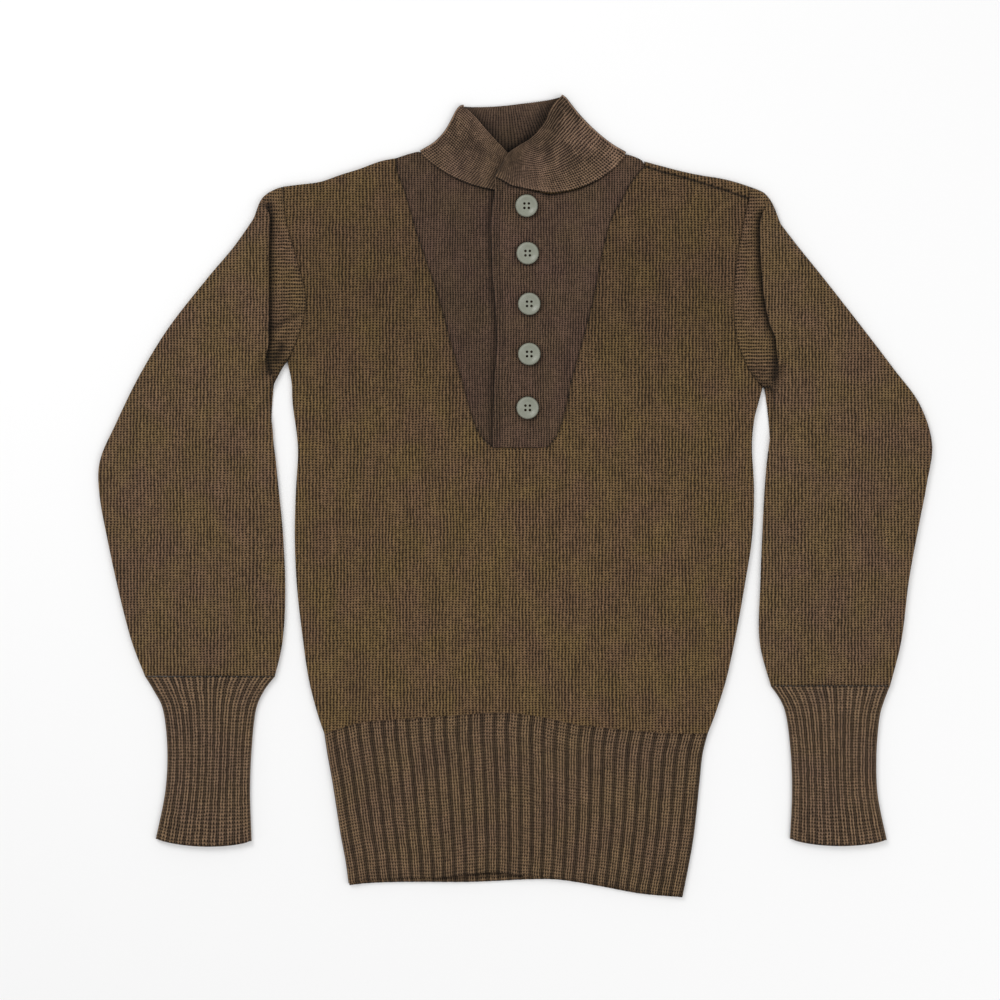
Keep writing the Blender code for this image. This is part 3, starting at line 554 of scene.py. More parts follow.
# %% The body's lines
SIDE_LEFT = [(-182, -225), (-189, -204), (-197, -172), (-203, -130), (-208, -85), (-210, -40),
             (-209, 5), (-207, 46), (-212, 88), (-213, 108), (-217, 128)]
SIDE_RIGHT = [(182, -225), (190, -204), (200, -172), (209, -130), (217, -85), (224, -40),
              (226, 5), (224, 46), (226, 72), (230, 88), (234, 103)]
# The level line under the V starts and ends at this point of the two sides
LEVEL = 7
ARMHOLE_LEFT = [(-217, 128), (-213, 137), (-207, 151), (-201, 170), (-199.5, 190), (-204, 210),
                (-210, 232), (-216, 252), (-220, 272), (-221, 294)]
ARMHOLE_RIGHT = [(234, 103), (228.5, 110.5), (220, 123), (210.5, 146), (207, 172), (207.5, 198),
                 (210, 225), (215, 254), (221, 283), (222, 294)]
V_LEFT = [(-22, 46.5), (-33, 57), (-41, 74), (-48, 99), (-54, 120), (-60, 140), (-67, 166),
          (-74, 190), (-81, 212), (-88, 232), (-96, 256), (-104, 285), (-112, 306), (-114, 321)]
V_RIGHT = [(30, 46.5), (39, 59), (46, 80), (53, 112), (61, 140), (72, 182), (77, 206),
           (82, 232), (90, 262), (100, 281), (110, 299), (122, 313.5)]
HEM_SEAM = [(-182, -225), (-150, -215), (-122, -212), (-63, -208), (-14, -205), (24, -209),
            (62, -217), (113, -222), (150, -225), (182, -225)]
SHOULDER_LEFT = [(-221, 294), (-205, 296), (-186, 298.5), (-167, 305), (-148, 311), (-129, 318),
                 (-114, 321)]
SHOULDER_RIGHT = [(122, 318), (137, 314), (156, 309), (175, 305), (194, 302), (210, 298),
                  (222, 294)]
FORWARD_SEAM = [(122, 313.5), (137, 308.5), (156, 303.5), (175, 298), (194, 292), (210, 286.5),
                (221, 283)]
WALE, COURSE = 3.15, 2.45
PITCH = 3.0

# %% [markdown]
# ## Front panel
#
# One knitted panel with a deep V cut out of it. A single patch can't go round the V, so three
# grids meet in a level line under it and grow together: one below, one on each side.

# %% Front panel
# Rough lengths in mm, which space the rows and columns of the three grids
WEST_WIDE, EAST_WIDE, LOW_TALL, HIGH_TALL = 185, 194, 272, 265
west = sample([SIDE_LEFT[LEVEL], V_LEFT[0]], near_ends(WEST_WIDE, PITCH, FOLD_STEPS))
under_v = sample([V_LEFT[0], V_RIGHT[0]], even(17))
east = sample([V_RIGHT[0], SIDE_RIGHT[LEVEL]], near_ends(EAST_WIDE, PITCH, (), FOLD_STEPS))
level_line = west + under_v[1:-1] + east

low_left = smooth(SIDE_LEFT, 0, LEVEL)
low_right = smooth(SIDE_RIGHT, 0, LEVEL)
low_steps = near_ends(LOW_TALL, PITCH, SEAM_STEPS)
front_foot = sample(smooth(HEM_SEAM), shares(level_line))
front_low = patch(front_foot, level_line,
                  sample(low_left, low_steps), sample(low_right, low_steps))

high_left = smooth(SIDE_LEFT, LEVEL)[:-1] + smooth(ARMHOLE_LEFT)
high_right = smooth(SIDE_RIGHT, LEVEL)[:-1] + smooth(ARMHOLE_RIGHT[:-1])
high_steps = near_ends(HIGH_TALL, PITCH, (), SEAM_STEPS)
front_left = patch(west, sample(smooth(SHOULDER_LEFT), shares(west)),
                   sample(high_left, high_steps), sample(smooth(V_LEFT), high_steps))
front_right = patch(east, sample(smooth(FORWARD_SEAM), shares(east)),
                    sample(smooth(V_RIGHT), high_steps), sample(high_right, high_steps))


def front_level(x, y):
    return FRONT_Z + KNIT + relief(x, y)


def arm_share(rows, side):
    """Bend a side patch down at its free side, and only dip it along the armhole."""
    start = {"left": SIDE_LEFT, "right": SIDE_RIGHT}[side][-1][1]
    edges = {"left": ("seam", 0.8), "right": ("seam", 0.8), "top": ("seam", 0.7)}
    free = {**edges, side: ("fold", BODY_MIDDLE)}
    folded, dipped = raised(rows, front_level, free), raised(rows, front_level, edges)
    whole = []
    for flat_row, fold_row, dip_row in zip(rows, folded, dipped):
        edge = flat_row[0 if side == "left" else -1]
        share = ramp(edge[1], start - FOLD_FADE, start + FOLD_FADE)
        whole.append([mix(a, b, share) for a, b in zip(fold_row, dip_row)])
    return whole


body_edges = {"left": ("fold", BODY_MIDDLE), "right": ("fold", BODY_MIDDLE)}
front_shape = bmesh.new()
for plan, rows in ((front_low, raised(front_low, front_level, body_edges)),
                   (front_left, arm_share(front_left, "left")),
                   (front_right, arm_share(front_right, "right"))):
    lay_grid(front_shape, rows, planar(plan, WALE, COURSE))
# Painted shade beside the armhole, V and forward shoulder seams
seam_shade = [hollow(smooth(line), 1.3, depth)
             for line, depth in ((ARMHOLE_LEFT, 0.3), (ARMHOLE_RIGHT, 0.3), (V_LEFT, 0.35),
                                 (V_RIGHT, 0.4), (FORWARD_SEAM, 0.8))]
# Painted shade in the hollow under the left underarm fold
underarm_shade = hollow([(-223, 134), (-219, 130)], 7, 0.6)
# A broad darkening across the upper front
chest_dark = hollow([(-140, 210), (140, 210)], 120, 0.2)
BODY_WALL = 1.9
front_panel = cloth("front_panel_cloth", front_shape, BODY_KNIT, BODY_WALL, ["front_panel"],
                    hollows=[*seam_shade, underarm_shade, chest_dark])

# %% [markdown]
# ## Back panel
#
# The back lies on the table, so its outer face looks down and its free sides bend up to meet the
# front. At the shoulder on the viewer's right the panel comes over the top and ends in a seam
# on the front, so those rows go on round a half circle.

# %% Back panel
NECK_BACK = [(-91, 328), (-75, 322), (-50, 316), (-20, 313), (10, 313), (45, 315), (80, 321),
             (103, 326)]
BACK_TALL, BACK_SHOULDER, FORWARD_LONG = 530, 112, 104
reach = KNIT + LAYER / 2
shoulder_steps = near_ends(FORWARD_LONG, PITCH, SEAM_STEPS)
shoulder = [(x, y - reach) for x, y in sample(smooth(SHOULDER_RIGHT), shoulder_steps)]
neck_line = ([(-114, 321), (-94, 323)] + [(x, y - 0.6) for x, y in NECK_BACK[1:-1]]
             + [(106, 319), shoulder[0]])
back_top = (sample(smooth(SHOULDER_LEFT), near_ends(BACK_SHOULDER, PITCH, FOLD_STEPS))
            + sample(smooth(neck_line), even(78))[1:] + shoulder[1:])
back_steps = near_ends(BACK_TALL, PITCH, SEAM_STEPS, SEAM_STEPS)
back_left = smooth(SIDE_LEFT)[:-1] + smooth(ARMHOLE_LEFT)
back_right = smooth(SIDE_RIGHT)[:-1] + smooth(ARMHOLE_RIGHT[:-1] + [shoulder[-1]])
back_plan = patch(sample(smooth(HEM_SEAM), shares(back_top)), back_top,
                  sample(back_left, back_steps), sample(back_right, back_steps))


def back_height(row, x, y):
    """The underside lies on the table and bends up along the two free sides."""
    z = 0.0
    for edge, stop in ((row[0], SIDE_LEFT[-1][1]), (row[-1], SIDE_RIGHT[-1][1])):
        gap = math.dist(edge, (x, y))
        if gap < FOLD:
            lift = BODY_MIDDLE * (1 - math.sqrt(1 - (1 - gap / FOLD) ** 2))
            z = max(z, lift * (1 - ramp(edge[1], stop - FOLD_FADE, stop + FOLD_FADE)))
    return z


back_rows = [[(x, y, back_height(row, x, y)) for x, y in row] for row in back_plan]
back_shape = bmesh.new()
lay_grid(back_shape, back_rows, planar(back_plan, WALE, COURSE))
bend = []
for angle in (0, 30, 60, 90, 120, 150, 180):
    s, c = math.sin(math.radians(angle)), math.cos(math.radians(angle))
    bend.append([(x, y + reach * s, reach * (1 - c)) for x, y in shoulder])
forward = sample(smooth(FORWARD_SEAM), shoulder_steps)
for share in (0.25, 0.5, 0.75, 0.9, 1.0):
    bend.append([(*mix((x, y), stop, share), 2 * reach - 0.7 * ramp(share, 0.6, 1.0))
                 for (x, y), stop in zip(shoulder, forward)])
bend_plan = [[(x, y - 2 * z) for x, y, z in row] for row in bend]
lay_grid(back_shape, bend, planar(bend_plan, WALE, COURSE))
bmesh.ops.reverse_faces(back_shape, faces=back_shape.faces)
# Painted shade beside the forward shoulder seam
back_panel = cloth("back_panel_cloth", back_shape, BODY_KNIT, BODY_WALL, ["back_panel"],
                   hollows=seam_shade[-1:])

# %% [markdown]
# ## Chest insert
#
# Two halves in a finer knit. The half on the viewer's right ends in the placket, a folded edge
# that laps over the other half and carries the buttons, and it climbs over the end of the collar
# at the neck.

# %% Chest insert
PLACKET_EDGE = [(-22, 46.5), (-22, 60), (-21.5, 82), (-20, 115), (-18, 145), (-19.5, 182),
                (-22, 206), (-23, 232), (-24, 255), (-22, 277), (-20, 292), (-20, 304)]
NECK_LEFT = [(11, 287), (-5, 288.4), (-21, 291), (-39, 295), (-58, 303), (-75, 314), (-84, 322)]
NECK_RIGHT = [(-20, 304), (-13, 300), (-5, 295), (6, 292), (18, 289), (30, 287), (42, 288),
              (56, 291), (69, 296), (82, 304), (91, 312), (97, 319)]
FINE_WALE, FINE_COURSE, FINE_PITCH = 2.6, 2.1, 2.6
INSERT_WALL = 1.5
INSERT_TALL, LEFT_WIDE, RIGHT_WIDE = 290, 128, 150

insert_steps = near_ends(INSERT_TALL, PITCH, SEAM_STEPS, SEAM_STEPS)
left_top = smooth([V_LEFT[-1], (-100, 325.5), (-91, 327), *reversed(NECK_LEFT)])
left_across = near_ends(LEFT_WIDE, FINE_PITCH, SEAM_STEPS)
left_foot = sample([V_LEFT[0], (9, 46.5)], left_across)
left_plan = patch(left_foot, sample(left_top, left_across),
                  sample(smooth(V_LEFT), insert_steps),
                  sample([left_foot[-1], left_top[-1]], insert_steps))
left_rows = raised(left_plan, lambda x, y: FRONT_Z + INSERT + relief(x, y),
                   {"left": ("seam", 0.8), "foot": ("seam", 0.6), "top": ("seam", 0.8)})
left_shape = bmesh.new()
lay_grid(left_shape, left_rows, planar(left_plan, FINE_WALE, FINE_COURSE))
# Painted shadow of the placket beside its edge, painted shade along the neck and V seams, and a
# broad darkening over this half
left_dark = [hollow(smooth(PLACKET_EDGE), 4.5, 0.6), hollow(smooth(NECK_LEFT), 1.8, 0.75),
             hollow(smooth(V_LEFT), 1.2, 0.3), hollow([(-70, 300), (-25, 60)], 90, 0.12)]
insert_left = cloth("insert_left_cloth", left_shape, INSERT_KNIT, INSERT_WALL, ["insert_left"],
                    hollows=left_dark)


def placket_rise(y):
    """How far the placket stands above the other half's underside."""
    return INSERT + LAYER + 1.8 * ramp(y, 258, 284)


def insert_level(x, y):
    lap = 1 - ramp(x, 19, 33)
    return FRONT_Z + relief(x, y) + lap * placket_rise(y) + INSERT


right_top = smooth([*NECK_RIGHT, (104, 324.5), (118.5, 319.6), V_RIGHT[-1]])
PLACKET_STEPS = (0.0, 0.25, 0.8, 1.6, 2.6, 3.4, 4.2, 5.0, 5.8, 6.6, 7.4)
right_across = near_ends(RIGHT_WIDE, FINE_PITCH, PLACKET_STEPS, SEAM_STEPS)
right_foot = sample([V_LEFT[0], V_RIGHT[0]], right_across)
right_plan = patch(right_foot, sample(right_top, right_across),
                   sample(smooth(PLACKET_EDGE), insert_steps),
                   sample(smooth(V_RIGHT), insert_steps))
right_rows = raised(right_plan, insert_level,
                    {"left": ("round", 1.5), "right": ("seam", 0.8), "foot": ("seam", 0.6),
                     "top": ("seam", 0.8)})
right_shape = bmesh.new()
lay_grid(right_shape, right_rows, planar(right_plan, FINE_WALE, FINE_COURSE))
BUTTONS = [(10.5, 275.5), (11.1, 230.4), (13.1, 182.3), (13.2, 134.8), (11.1, 83.3)]
BUTTON_RIM = 10.2
round_button = []
for turn in range(0, 361, 12):
    c, s = math.cos(math.radians(turn)), math.sin(math.radians(turn))
    round_button.append((c * BUTTON_RIM, s * BUTTON_RIM))
# Two thin dark lines along the placket, a painted shadow round the rim of each button, and painted
# shade along the neck and V seams
right_dark = [hollow([(x + dx, y) for x, y in PLACKET_EDGE], 0.8, 0.5) for dx in (3.4, 6.6)]
right_dark += [hollow([(bx + dx, by + dy) for dx, dy in round_button], 2.2, 0.55)
               for bx, by in BUTTONS]
right_dark += [hollow(smooth(NECK_RIGHT), 1.8, 0.75), hollow(smooth(V_RIGHT), 1.2, 0.3)]
insert_right = cloth("insert_right_cloth", right_shape, INSERT_KNIT, INSERT_WALL,
                     ["insert_right"], hollows=right_dark)

# %% [markdown]
# ## Stand collar
#
# The collar is one band of fine rib, doubled over at its free edge. It lies flattened: its two
# fronts face up, its back shows its inner face between them, and a fold joins them on each side.
# The ribs run square to the neck seam, so the band is a grid with four columns to each rib.

# %% Stand collar
TOP_LEFT = [(11, 307), (-3, 320), (-14, 331), (-25, 342), (-34, 352), (-43, 361), (-50, 366)]
TOP_RIGHT = [(-7, 325), (-1, 329.5), (6, 334), (12, 338), (18, 343), (22.5, 349), (26, 355),
             (28.5, 361), (31, 366), (33.5, 370), (36, 373), (39, 376)]
TOP_BACK = [(-51, 369), (-40, 369), (-26, 369.5), (-10, 370.7), (4, 372.3), (17, 373.7),
            (30, 375.5), (41, 378)]
FOLD_LEFT = [(-90.5, 327.2), (-77, 335.5), (-67, 346), (-60.5, 357), (-56.5, 365), (-53, 369.5),
             (-49.5, 370.6)]
FOLD_RIGHT = [(104, 325.8), (90, 334), (75, 346), (61, 360), (51.5, 371.5), (47, 377.5),
              (43, 380.3)]
RIBS_WEST, RIBS_BEHIND, RIBS_EAST, COLUMNS = 42, 44, 52, 4
COLLAR_TALL, COLLAR_COURSE, COLLAR_RIB_RISE = 57, 1.9, 0.22
COLLAR_WALL = 2.4
COLLAR_LEG = COLLAR * 1.5 + 0.4
COLLAR_TURN = (COLLAR_LEG - COLLAR / 2) / 2
FOLD_ANGLES = (72, 48, 24, 0, -24, -48, -72)


def insets(path, turn, hand):
    """Points a turn's radius inside a fold, square to it; hand 1 is its left side."""
    inside = []
    for i, here in enumerate(path):
        before, after = path[max(0, i - 1)], path[min(len(path) - 1, i + 1)]
        dx, dy = after[0] - before[0], after[1] - before[1]
        size = math.hypot(dx, dy)
        inside.append((here[0] - hand * dy / size * turn, here[1] + hand * dx / size * turn))
    return inside


def fold_points(inside, edge, turn, middle, way):
    """Points round a fold, from the upper layer down when way is 1."""
    out = []
    for angle in FOLD_ANGLES:
        c, s = math.cos(math.radians(angle)), math.sin(math.radians(angle))
        out.append((*mix(inside, edge, c), middle + way * turn * s))
    return out


def stretch(foot, top, count, shift_first, shift_last, t):
    """Plan points of one stretch of the band at a share of its height."""
    line = []
    for s, a, b in zip(even(count), sample(smooth(foot), even(count)),
                       sample(smooth(top), even(count))):
        x, y = mix(a, b, t)
        line.append((x + shift_first[0] * (1 - s) + shift_last[0] * s,
                     y + shift_first[1] * (1 - s) + shift_last[1] * s))
    return line


band_steps = near_ends(COLLAR_TALL, FINE_PITCH, (0.0, 1.4, 2.8), (0.0, 1.4, 2.8))
west_folds = sample(smooth(FOLD_LEFT), band_steps)
east_folds = sample(smooth(FOLD_RIGHT), band_steps)
west_inside = insets(west_folds, COLLAR_TURN, -1)
east_inside = insets(east_folds, COLLAR_TURN, 1)
collar_rows, collar_counts = [], []
for t, west_edge, east_edge, west_in, east_in in zip(band_steps, west_folds, east_folds,
                                                     west_inside, east_inside):
    # The two fronts start a little below the neck seam, so the insert shows no gap there
    reach_down = 1.014 * t - 0.014
    west_ends = mix(NECK_LEFT[-1], TOP_LEFT[-1], t), mix(NECK_BACK[0], TOP_BACK[0], t)
    east_ends = mix(NECK_BACK[-1], TOP_BACK[-1], t), mix(NECK_RIGHT[-1], TOP_RIGHT[-1], t)
    still = (0.0, 0.0)
    shift = [tuple(p - q for p, q in zip(a, b))
             for a, b in ((west_in, west_ends[0]), (west_in, west_ends[1]),
                          (east_in, east_ends[0]), (east_in, east_ends[1]))]
    front_west = stretch(NECK_LEFT, TOP_LEFT, COLUMNS * RIBS_WEST, still, shift[0], reach_down)
    behind = stretch(NECK_BACK, TOP_BACK, COLUMNS * RIBS_BEHIND, shift[1], shift[2], t)
    front_east = stretch(NECK_RIGHT[::-1], TOP_RIGHT[::-1], COLUMNS * RIBS_EAST, shift[3],
                         still, reach_down)
    row = [(x, y, COLLAR_LEG) for x, y in front_west]
    row += fold_points(west_in, west_edge, COLLAR_TURN, COLLAR / 2 + COLLAR_TURN, 1)
    row += [(x, y, COLLAR / 2) for x, y in behind]
    row += fold_points(east_in, east_edge, COLLAR_TURN, COLLAR / 2 + COLLAR_TURN, -1)
    row += [(x, y, COLLAR_LEG + (COLLAR + 0.5) * (1 - ramp(x, 20, 54))) for x, y in front_east]
    collar_rows.append(row)
    collar_counts.append([(i / COLUMNS, t * COLLAR_TALL / COLLAR_COURSE) for i in range(len(row))])

collar_shape = bmesh.new()
lay_grid(collar_shape, collar_rows, collar_counts)
bmesh.ops.reverse_faces(collar_shape, faces=collar_shape.faces)
collar_shape.normal_update()
rib_layer = collar_shape.loops.layers.uv.verify()
for vert in collar_shape.verts:
    wale = vert.link_loops[0][rib_layer].uv[0]
    vert.co += vert.normal * COLLAR_RIB_RISE * MM * math.cos(2 * math.pi * wale)
# The back lies below this height, in the shade of the two fronts
behind_below = COLLAR * 0.9
# Painted shade on the back between the fronts and beside their top edges, and on the lower layer
# beside the right front's edge where it laps over; the last line darkens the left front a little
# near the neck
collar_dark = [hollow([(-75, 345), (75, 347)], 60, 0.72, behind_below),
               hollow(smooth(TOP_LEFT), 9, 0.6, behind_below),
               hollow(smooth(TOP_RIGHT), 9, 0.6, behind_below),
               hollow(smooth(TOP_RIGHT)[:40], 4, 0.5, COLLAR_LEG + 0.4),
               hollow([(-75, 330), (-20, 302)], 28, 0.2)]
collar = cloth("collar_cloth", collar_shape, COLLAR_RIB, COLLAR_WALL, ["collar"],
               0.0, 0.7, collar_dark)

# %% [markdown]
# ## Hem ribs
#
# The hem is a 3 by 2 rib: three wales stand up, two lie back and take less room. The grid has
# ten columns to each rib, two for each wale. The front and the back each have their own, folded
# together at the sides. Small beads stand where the knitting was cast on and where it was joined.

# %% Hem ribs
HEM_SIDE_LEFT = [(-159, -367), (-162, -345), (-167, -318), (-174, -273), (-179, -245),
                 (-182, -225)]
HEM_SIDE_RIGHT = [(158, -379), (163, -355), (169, -320), (174, -273), (177, -245), (182, -225)]
HEM_FOOT_FRONT = [(-159, -367), (-139, -363.5), (-110, -362), (-72, -361), (-46, -358),
                  (-19, -356), (5, -359), (42, -362), (80, -367), (118, -374), (158, -379)]
HEM_FOOT_BACK = [(-158, -369), (-139, -367), (-110, -366), (-72, -366), (-46, -366),
                 (-19, -365), (13, -363.5), (42, -364), (80, -370), (118, -377), (158, -380.5)]
HEM_RIBS = 31
HEM_TALL = 150
RIB_RISE = 1.3
RIB_COURSE = 2.9
RIB_WALL = 1.3
RIB_EDGE = 0.6
HEM_GROUND = 1.6
KNOT_RISE = 0.7
KNOT_STEPS = (0.0, 1.2, 2.4, 3.6, 4.8)


def rib_height(count, across, up):
    """Share of the rise at a wale count: a flat crest over the wales that stand up."""
    place = (count % across) - up / 2
    place = min(abs(place), across - abs(place))
    return 1 - ramp(place, up / 2 - 0.55, up / 2 + 0.45)


def rib_places(ribs, across, up, up_share):
    """Wale counts of a ribbed width, two columns to a wale, and the shares where they lie.

    The wales that stand up take more of each rib than the ones that lie back.
    """
    wales = [k / 2 for k in range(2 * across * ribs + 1)]
    shares_of_width = []
    for wale in wales:
        rib, place = divmod(wale, across)
        if place <= up:
            part = place / up * up_share
        else:
            part = up_share + (place - up) / (across - up) * (1 - up_share)
        shares_of_width.append((rib + part) / ribs)
    return wales, shares_of_width


def knots(t, column):
    """Small beads along the last rows of a rib."""
    return KNOT_RISE * (-1) ** (column // 2) * ramp(t, 0.965, 0.985)


hem_wales, hem_across = rib_places(HEM_RIBS, *HEM_WALES, HEM_UP_SHARE)
hem_steps = near_ends(HEM_TALL, PITCH, KNOT_STEPS, KNOT_STEPS)


def hem(foot, top, side_left, side_right, upper):
    """Rows of one hem rib, the front one or the back one."""
    plan = patch(sample(smooth(foot), hem_across), sample(smooth(top), hem_across),
                 sample(smooth(side_left), hem_steps), sample(smooth(side_right), hem_steps))
    rows, counts = [], []
    for v, row in zip(hem_steps, plan):
        line = []
        strength = ramp(v, -0.1, 0.06) * (1 - 0.75 * ramp(v, 0.93, 1.0))
        for column, ((x, y), wale) in enumerate(zip(row, hem_wales)):
            gap = min(math.dist(row[0], (x, y)), math.dist(row[-1], (x, y)))
            bulge = math.sqrt(1 - (1 - min(1.0, gap / FOLD)) ** 2)
            rib = RIB_RISE * rib_height(wale, *HEM_WALES) * strength
            rib += knots(v, column) + knots(1 - v, column)
            if upper:
                z = FRONT_Z + relief(x, y) + HEM_GROUND + rib
            else:
                z = 0.5 - 0.5 * rib / RIB_RISE
            line.append((x, y, BODY_MIDDLE + (z - BODY_MIDDLE) * bulge))
        rows.append(line)
        counts.append([(wale, v * HEM_TALL / RIB_COURSE) for wale in hem_wales])
    return rows, counts


hem_shape = bmesh.new()
lay_grid(hem_shape, *hem(HEM_FOOT_FRONT, HEM_SEAM, HEM_SIDE_LEFT, HEM_SIDE_RIGHT, True))
hem_front = cloth("hem_rib_front_cloth", hem_shape, HEM_RIB, RIB_WALL, ["hem_rib_front"],
                  edge=RIB_EDGE)
hem_shape = bmesh.new()
lay_grid(hem_shape, *hem(HEM_FOOT_BACK, HEM_SEAM, [HEM_FOOT_BACK[0]] + HEM_SIDE_LEFT[1:],
                         [HEM_FOOT_BACK[-1]] + HEM_SIDE_RIGHT[1:], False))
bmesh.ops.reverse_faces(hem_shape, faces=hem_shape.faces)
# Painted shadow on the back rib under the lifted stretch of the front rib's foot
lifted_hem_shadow = hollow(HEM_FOOT_FRONT[3:7], 2.5, 0.7)
hem_back = cloth("hem_rib_back_cloth", hem_shape, HEM_RIB, RIB_WALL, ["hem_rib_back"],
                 edge=RIB_EDGE, hollows=[lifted_hem_shadow])

# %% [markdown]
# ## Sleeves
#
# Each sleeve is a flattened tube. Beside the armhole its upper side folds over on itself: a
# strip lies flat along the seam, dips under the sleeve, turns and comes back over it. The rows of
# the tube follow that fold, and at both ends of the armhole the fold fades out. On the viewer's
# left one more soft fold, a pucker, runs from the underarm over the strip.

# %% Sleeves
RINGS_LEFT = [(-249, 264, -234.5, 91), (-268, 237, -234, 85), (-294, 206, -233, 79),
              (-330, 160, -232, 72), (-358, 114, -231, 63), (-380, 69, -230, 50),
              (-395, 34, -228, 34), (-395.5, 2, -225, 4), (-388, -40, -221, -38),
              (-377, -91, -219, -91), (-365, -137, -221.5, -137), (-352, -171, -229, -171)]
RINGS_RIGHT = [(251, 259, 245.2, 92), (268, 237, 245, 85), (293, 206, 244, 79),
               (329, 160, 243, 71), (358, 122, 241.5, 61), (383, 88, 240, 48),
               (395, 50, 238, 32), (390, 12, 236, 8), (382, -30, 234, -30),
               (373, -80, 232, -80), (366, -136, 231, -136), (355, -180, 242, -180)]
CREASE_LEFT = [(-233, 112), (-236, 133), (-235, 150), (-235, 201), (-235, 235), (-234, 268),
               (-238, 285)]
CREASE_RIGHT = [(246, 107), (247, 124), (247, 148), (241, 164), (236, 188), (233, 221),
                (232, 257), (236, 285)]
CAP_LEFT = [(-221, 294), (-228, 292), (-237, 287), (-243, 280), (-249, 264)]
CAP_RIGHT = [(222, 294), (230, 291), (237, 287), (244, 277), (251, 259)]
PIT_LEFT = [(-217, 128), (-221, 123), (-226, 114), (-230.5, 105), (-233.5, 95)]
PIT_RIGHT = [(234, 103), (238, 103.8), (241.5, 103), (244, 100), (245.2, 95.5)]
TUCK_RISE = 5.6
SLEEVE_WALL = 1.3
SLEEVE_TURN = FRONT_Z / 2 + KNIT / 2
SLEEVE_TOP = 2 * SLEEVE_TURN
SLEEVE_LONG, SLEEVE_WIDE = 430, 175
# How far out from the crease each row of the fold lies, flat and folded, and its height
TUCK = [(-4.5, -4.5, 0.0), (-3.0, -2.0, 0.0), (-1.6, 0.8, 0.05), (-0.6, 2.6, 0.2), (0.2, 3.6, 0.9),
        (0.9, 3.2, 1.7), (1.6, 1.6, 2.1), (2.4, 0.1, 2.7), (3.2, -0.7, 3.7), (4.1, -0.4, 4.7),
        (5.2, 0.9, 5.4), (6.6, 3.0, 5.6), (8.5, 6.2, 5.6)]
STRIP = (0.0, 0.06, 0.16, 0.36, 0.6, 0.85)
ARM_ROWS = len(STRIP) + len(TUCK)
ARM_END = 0.8
SLEEVE_STEPS = near_ends(SLEEVE_LONG, PITCH)[1:]
ACROSS = 64
around = even(ACROSS)
FAN, FAN_FADE = 1.3, 80
# The rows beside the fold stay at least this far apart
ROW_APART = 0.8


def sleeve_lift(s):
    """Share of the fold at a share of the way from the underarm to the shoulder."""
    return ramp(s, 0.02, 0.2) * (1 - ramp(s, 0.86, 0.99))


def pucker(x, y):
    """Height of the soft fold that runs from the underarm up over the strip."""
    along = min(1.0, max(0.0, (x + 235) / 30))
    gap = abs(y - (149 + 17 * along))
    return 2.4 * math.exp(-(gap / (3.0 + 3.5 * along)) ** 2) if x < 0 else 0.0


def beside(line, y):
    """X of a line that runs up the table, at a height Y on it."""
    for a, b in zip(line, line[1:]):
        if a[1] <= y <= b[1]:
            return a[0] + (b[0] - a[0]) * (y - a[1]) / max(1e-9, b[1] - a[1])
    return line[0][0] if y < line[0][1] else line[-1][0]


def puff(reach, lift, s):
    """Height of the sleeve's upper side at a distance out from the crease."""
    drop = 1 - ramp(reach, 12, 85)
    return TUCK_RISE * drop * lift + 1.9 * math.sin(math.pi * s) ** 0.7 * ramp(reach, 30, 90)


def sleeve_edge(first, rest):
    """Points of one edge of the sleeve: the rows beside the armhole, then those to the cuff."""
    line = smooth(first)[:-1] + smooth(rest)
    near = length_of(smooth(first)) / length_of(line) * ARM_END
    return sample(line, [near * s for s in even(ARM_ROWS)[:-1]]
                  + [near + (1 - near) * s for s in [0.0] + SLEEVE_STEPS])


# %% The sleeve's upper side
def armhole_rows(arm, fold, outward):
    """Rows of the strip beside the armhole, and of the fold."""
    lines = []
    for part in STRIP:
        line = []
        for a, c in zip(arm, fold):
            x, y = mix(a, (c[0] + outward * TUCK[0][0], c[1]), part)
            line.append((x, y, SLEEVE_TOP + pucker(x, y) * ramp(part, 0.0, 0.3)))
        lines.append(line)
    for flat, folded, height in TUCK:
        line = []
        for s, (x, y) in zip(around, fold):
            lift = sleeve_lift(s)
            line.append((x + outward * (flat + (folded - flat) * lift), y,
                         SLEEVE_TOP + height * lift))
        lines.append(line)
    return lines


def rows_to_cuff(plan, fold, outward):
    """Rows from the fold to the cuff: fanned out, and kept from coming back over the fold."""
    lines = []
    for j, (share, row) in enumerate(zip([0.0] + SLEEVE_STEPS, plan)):
        line = []
        along = share * SLEEVE_LONG
        for s, (x, y), (fx, fy) in zip(around, row, fold):
            up = s * SLEEVE_WIDE
            x += outward * FAN * math.sqrt(along * up) * math.exp(-(along + up) / FAN_FADE)
            need = (TUCK[-1][1] + ROW_APART * (j + 1)) * (1 - ramp(fold[0][1] - y, 0, 22))
            need *= 1 - ramp(y - fold[-1][1], 0, 8)
            crease_x = beside(fold, y)
            x = crease_x + outward * max(need, (x - crease_x) * outward)
            reach = math.hypot(x - fx, y - fy)
            plump = puff(reach, sleeve_lift(s), s) + relief(x, y) * 0.5 * ramp(reach, 8, 34)
            plump *= 1 - 0.7 * ramp(along, SLEEVE_LONG - 25, SLEEVE_LONG)
            line.append((x, y, SLEEVE_TOP + plump))
        lines.append(line)
    return lines


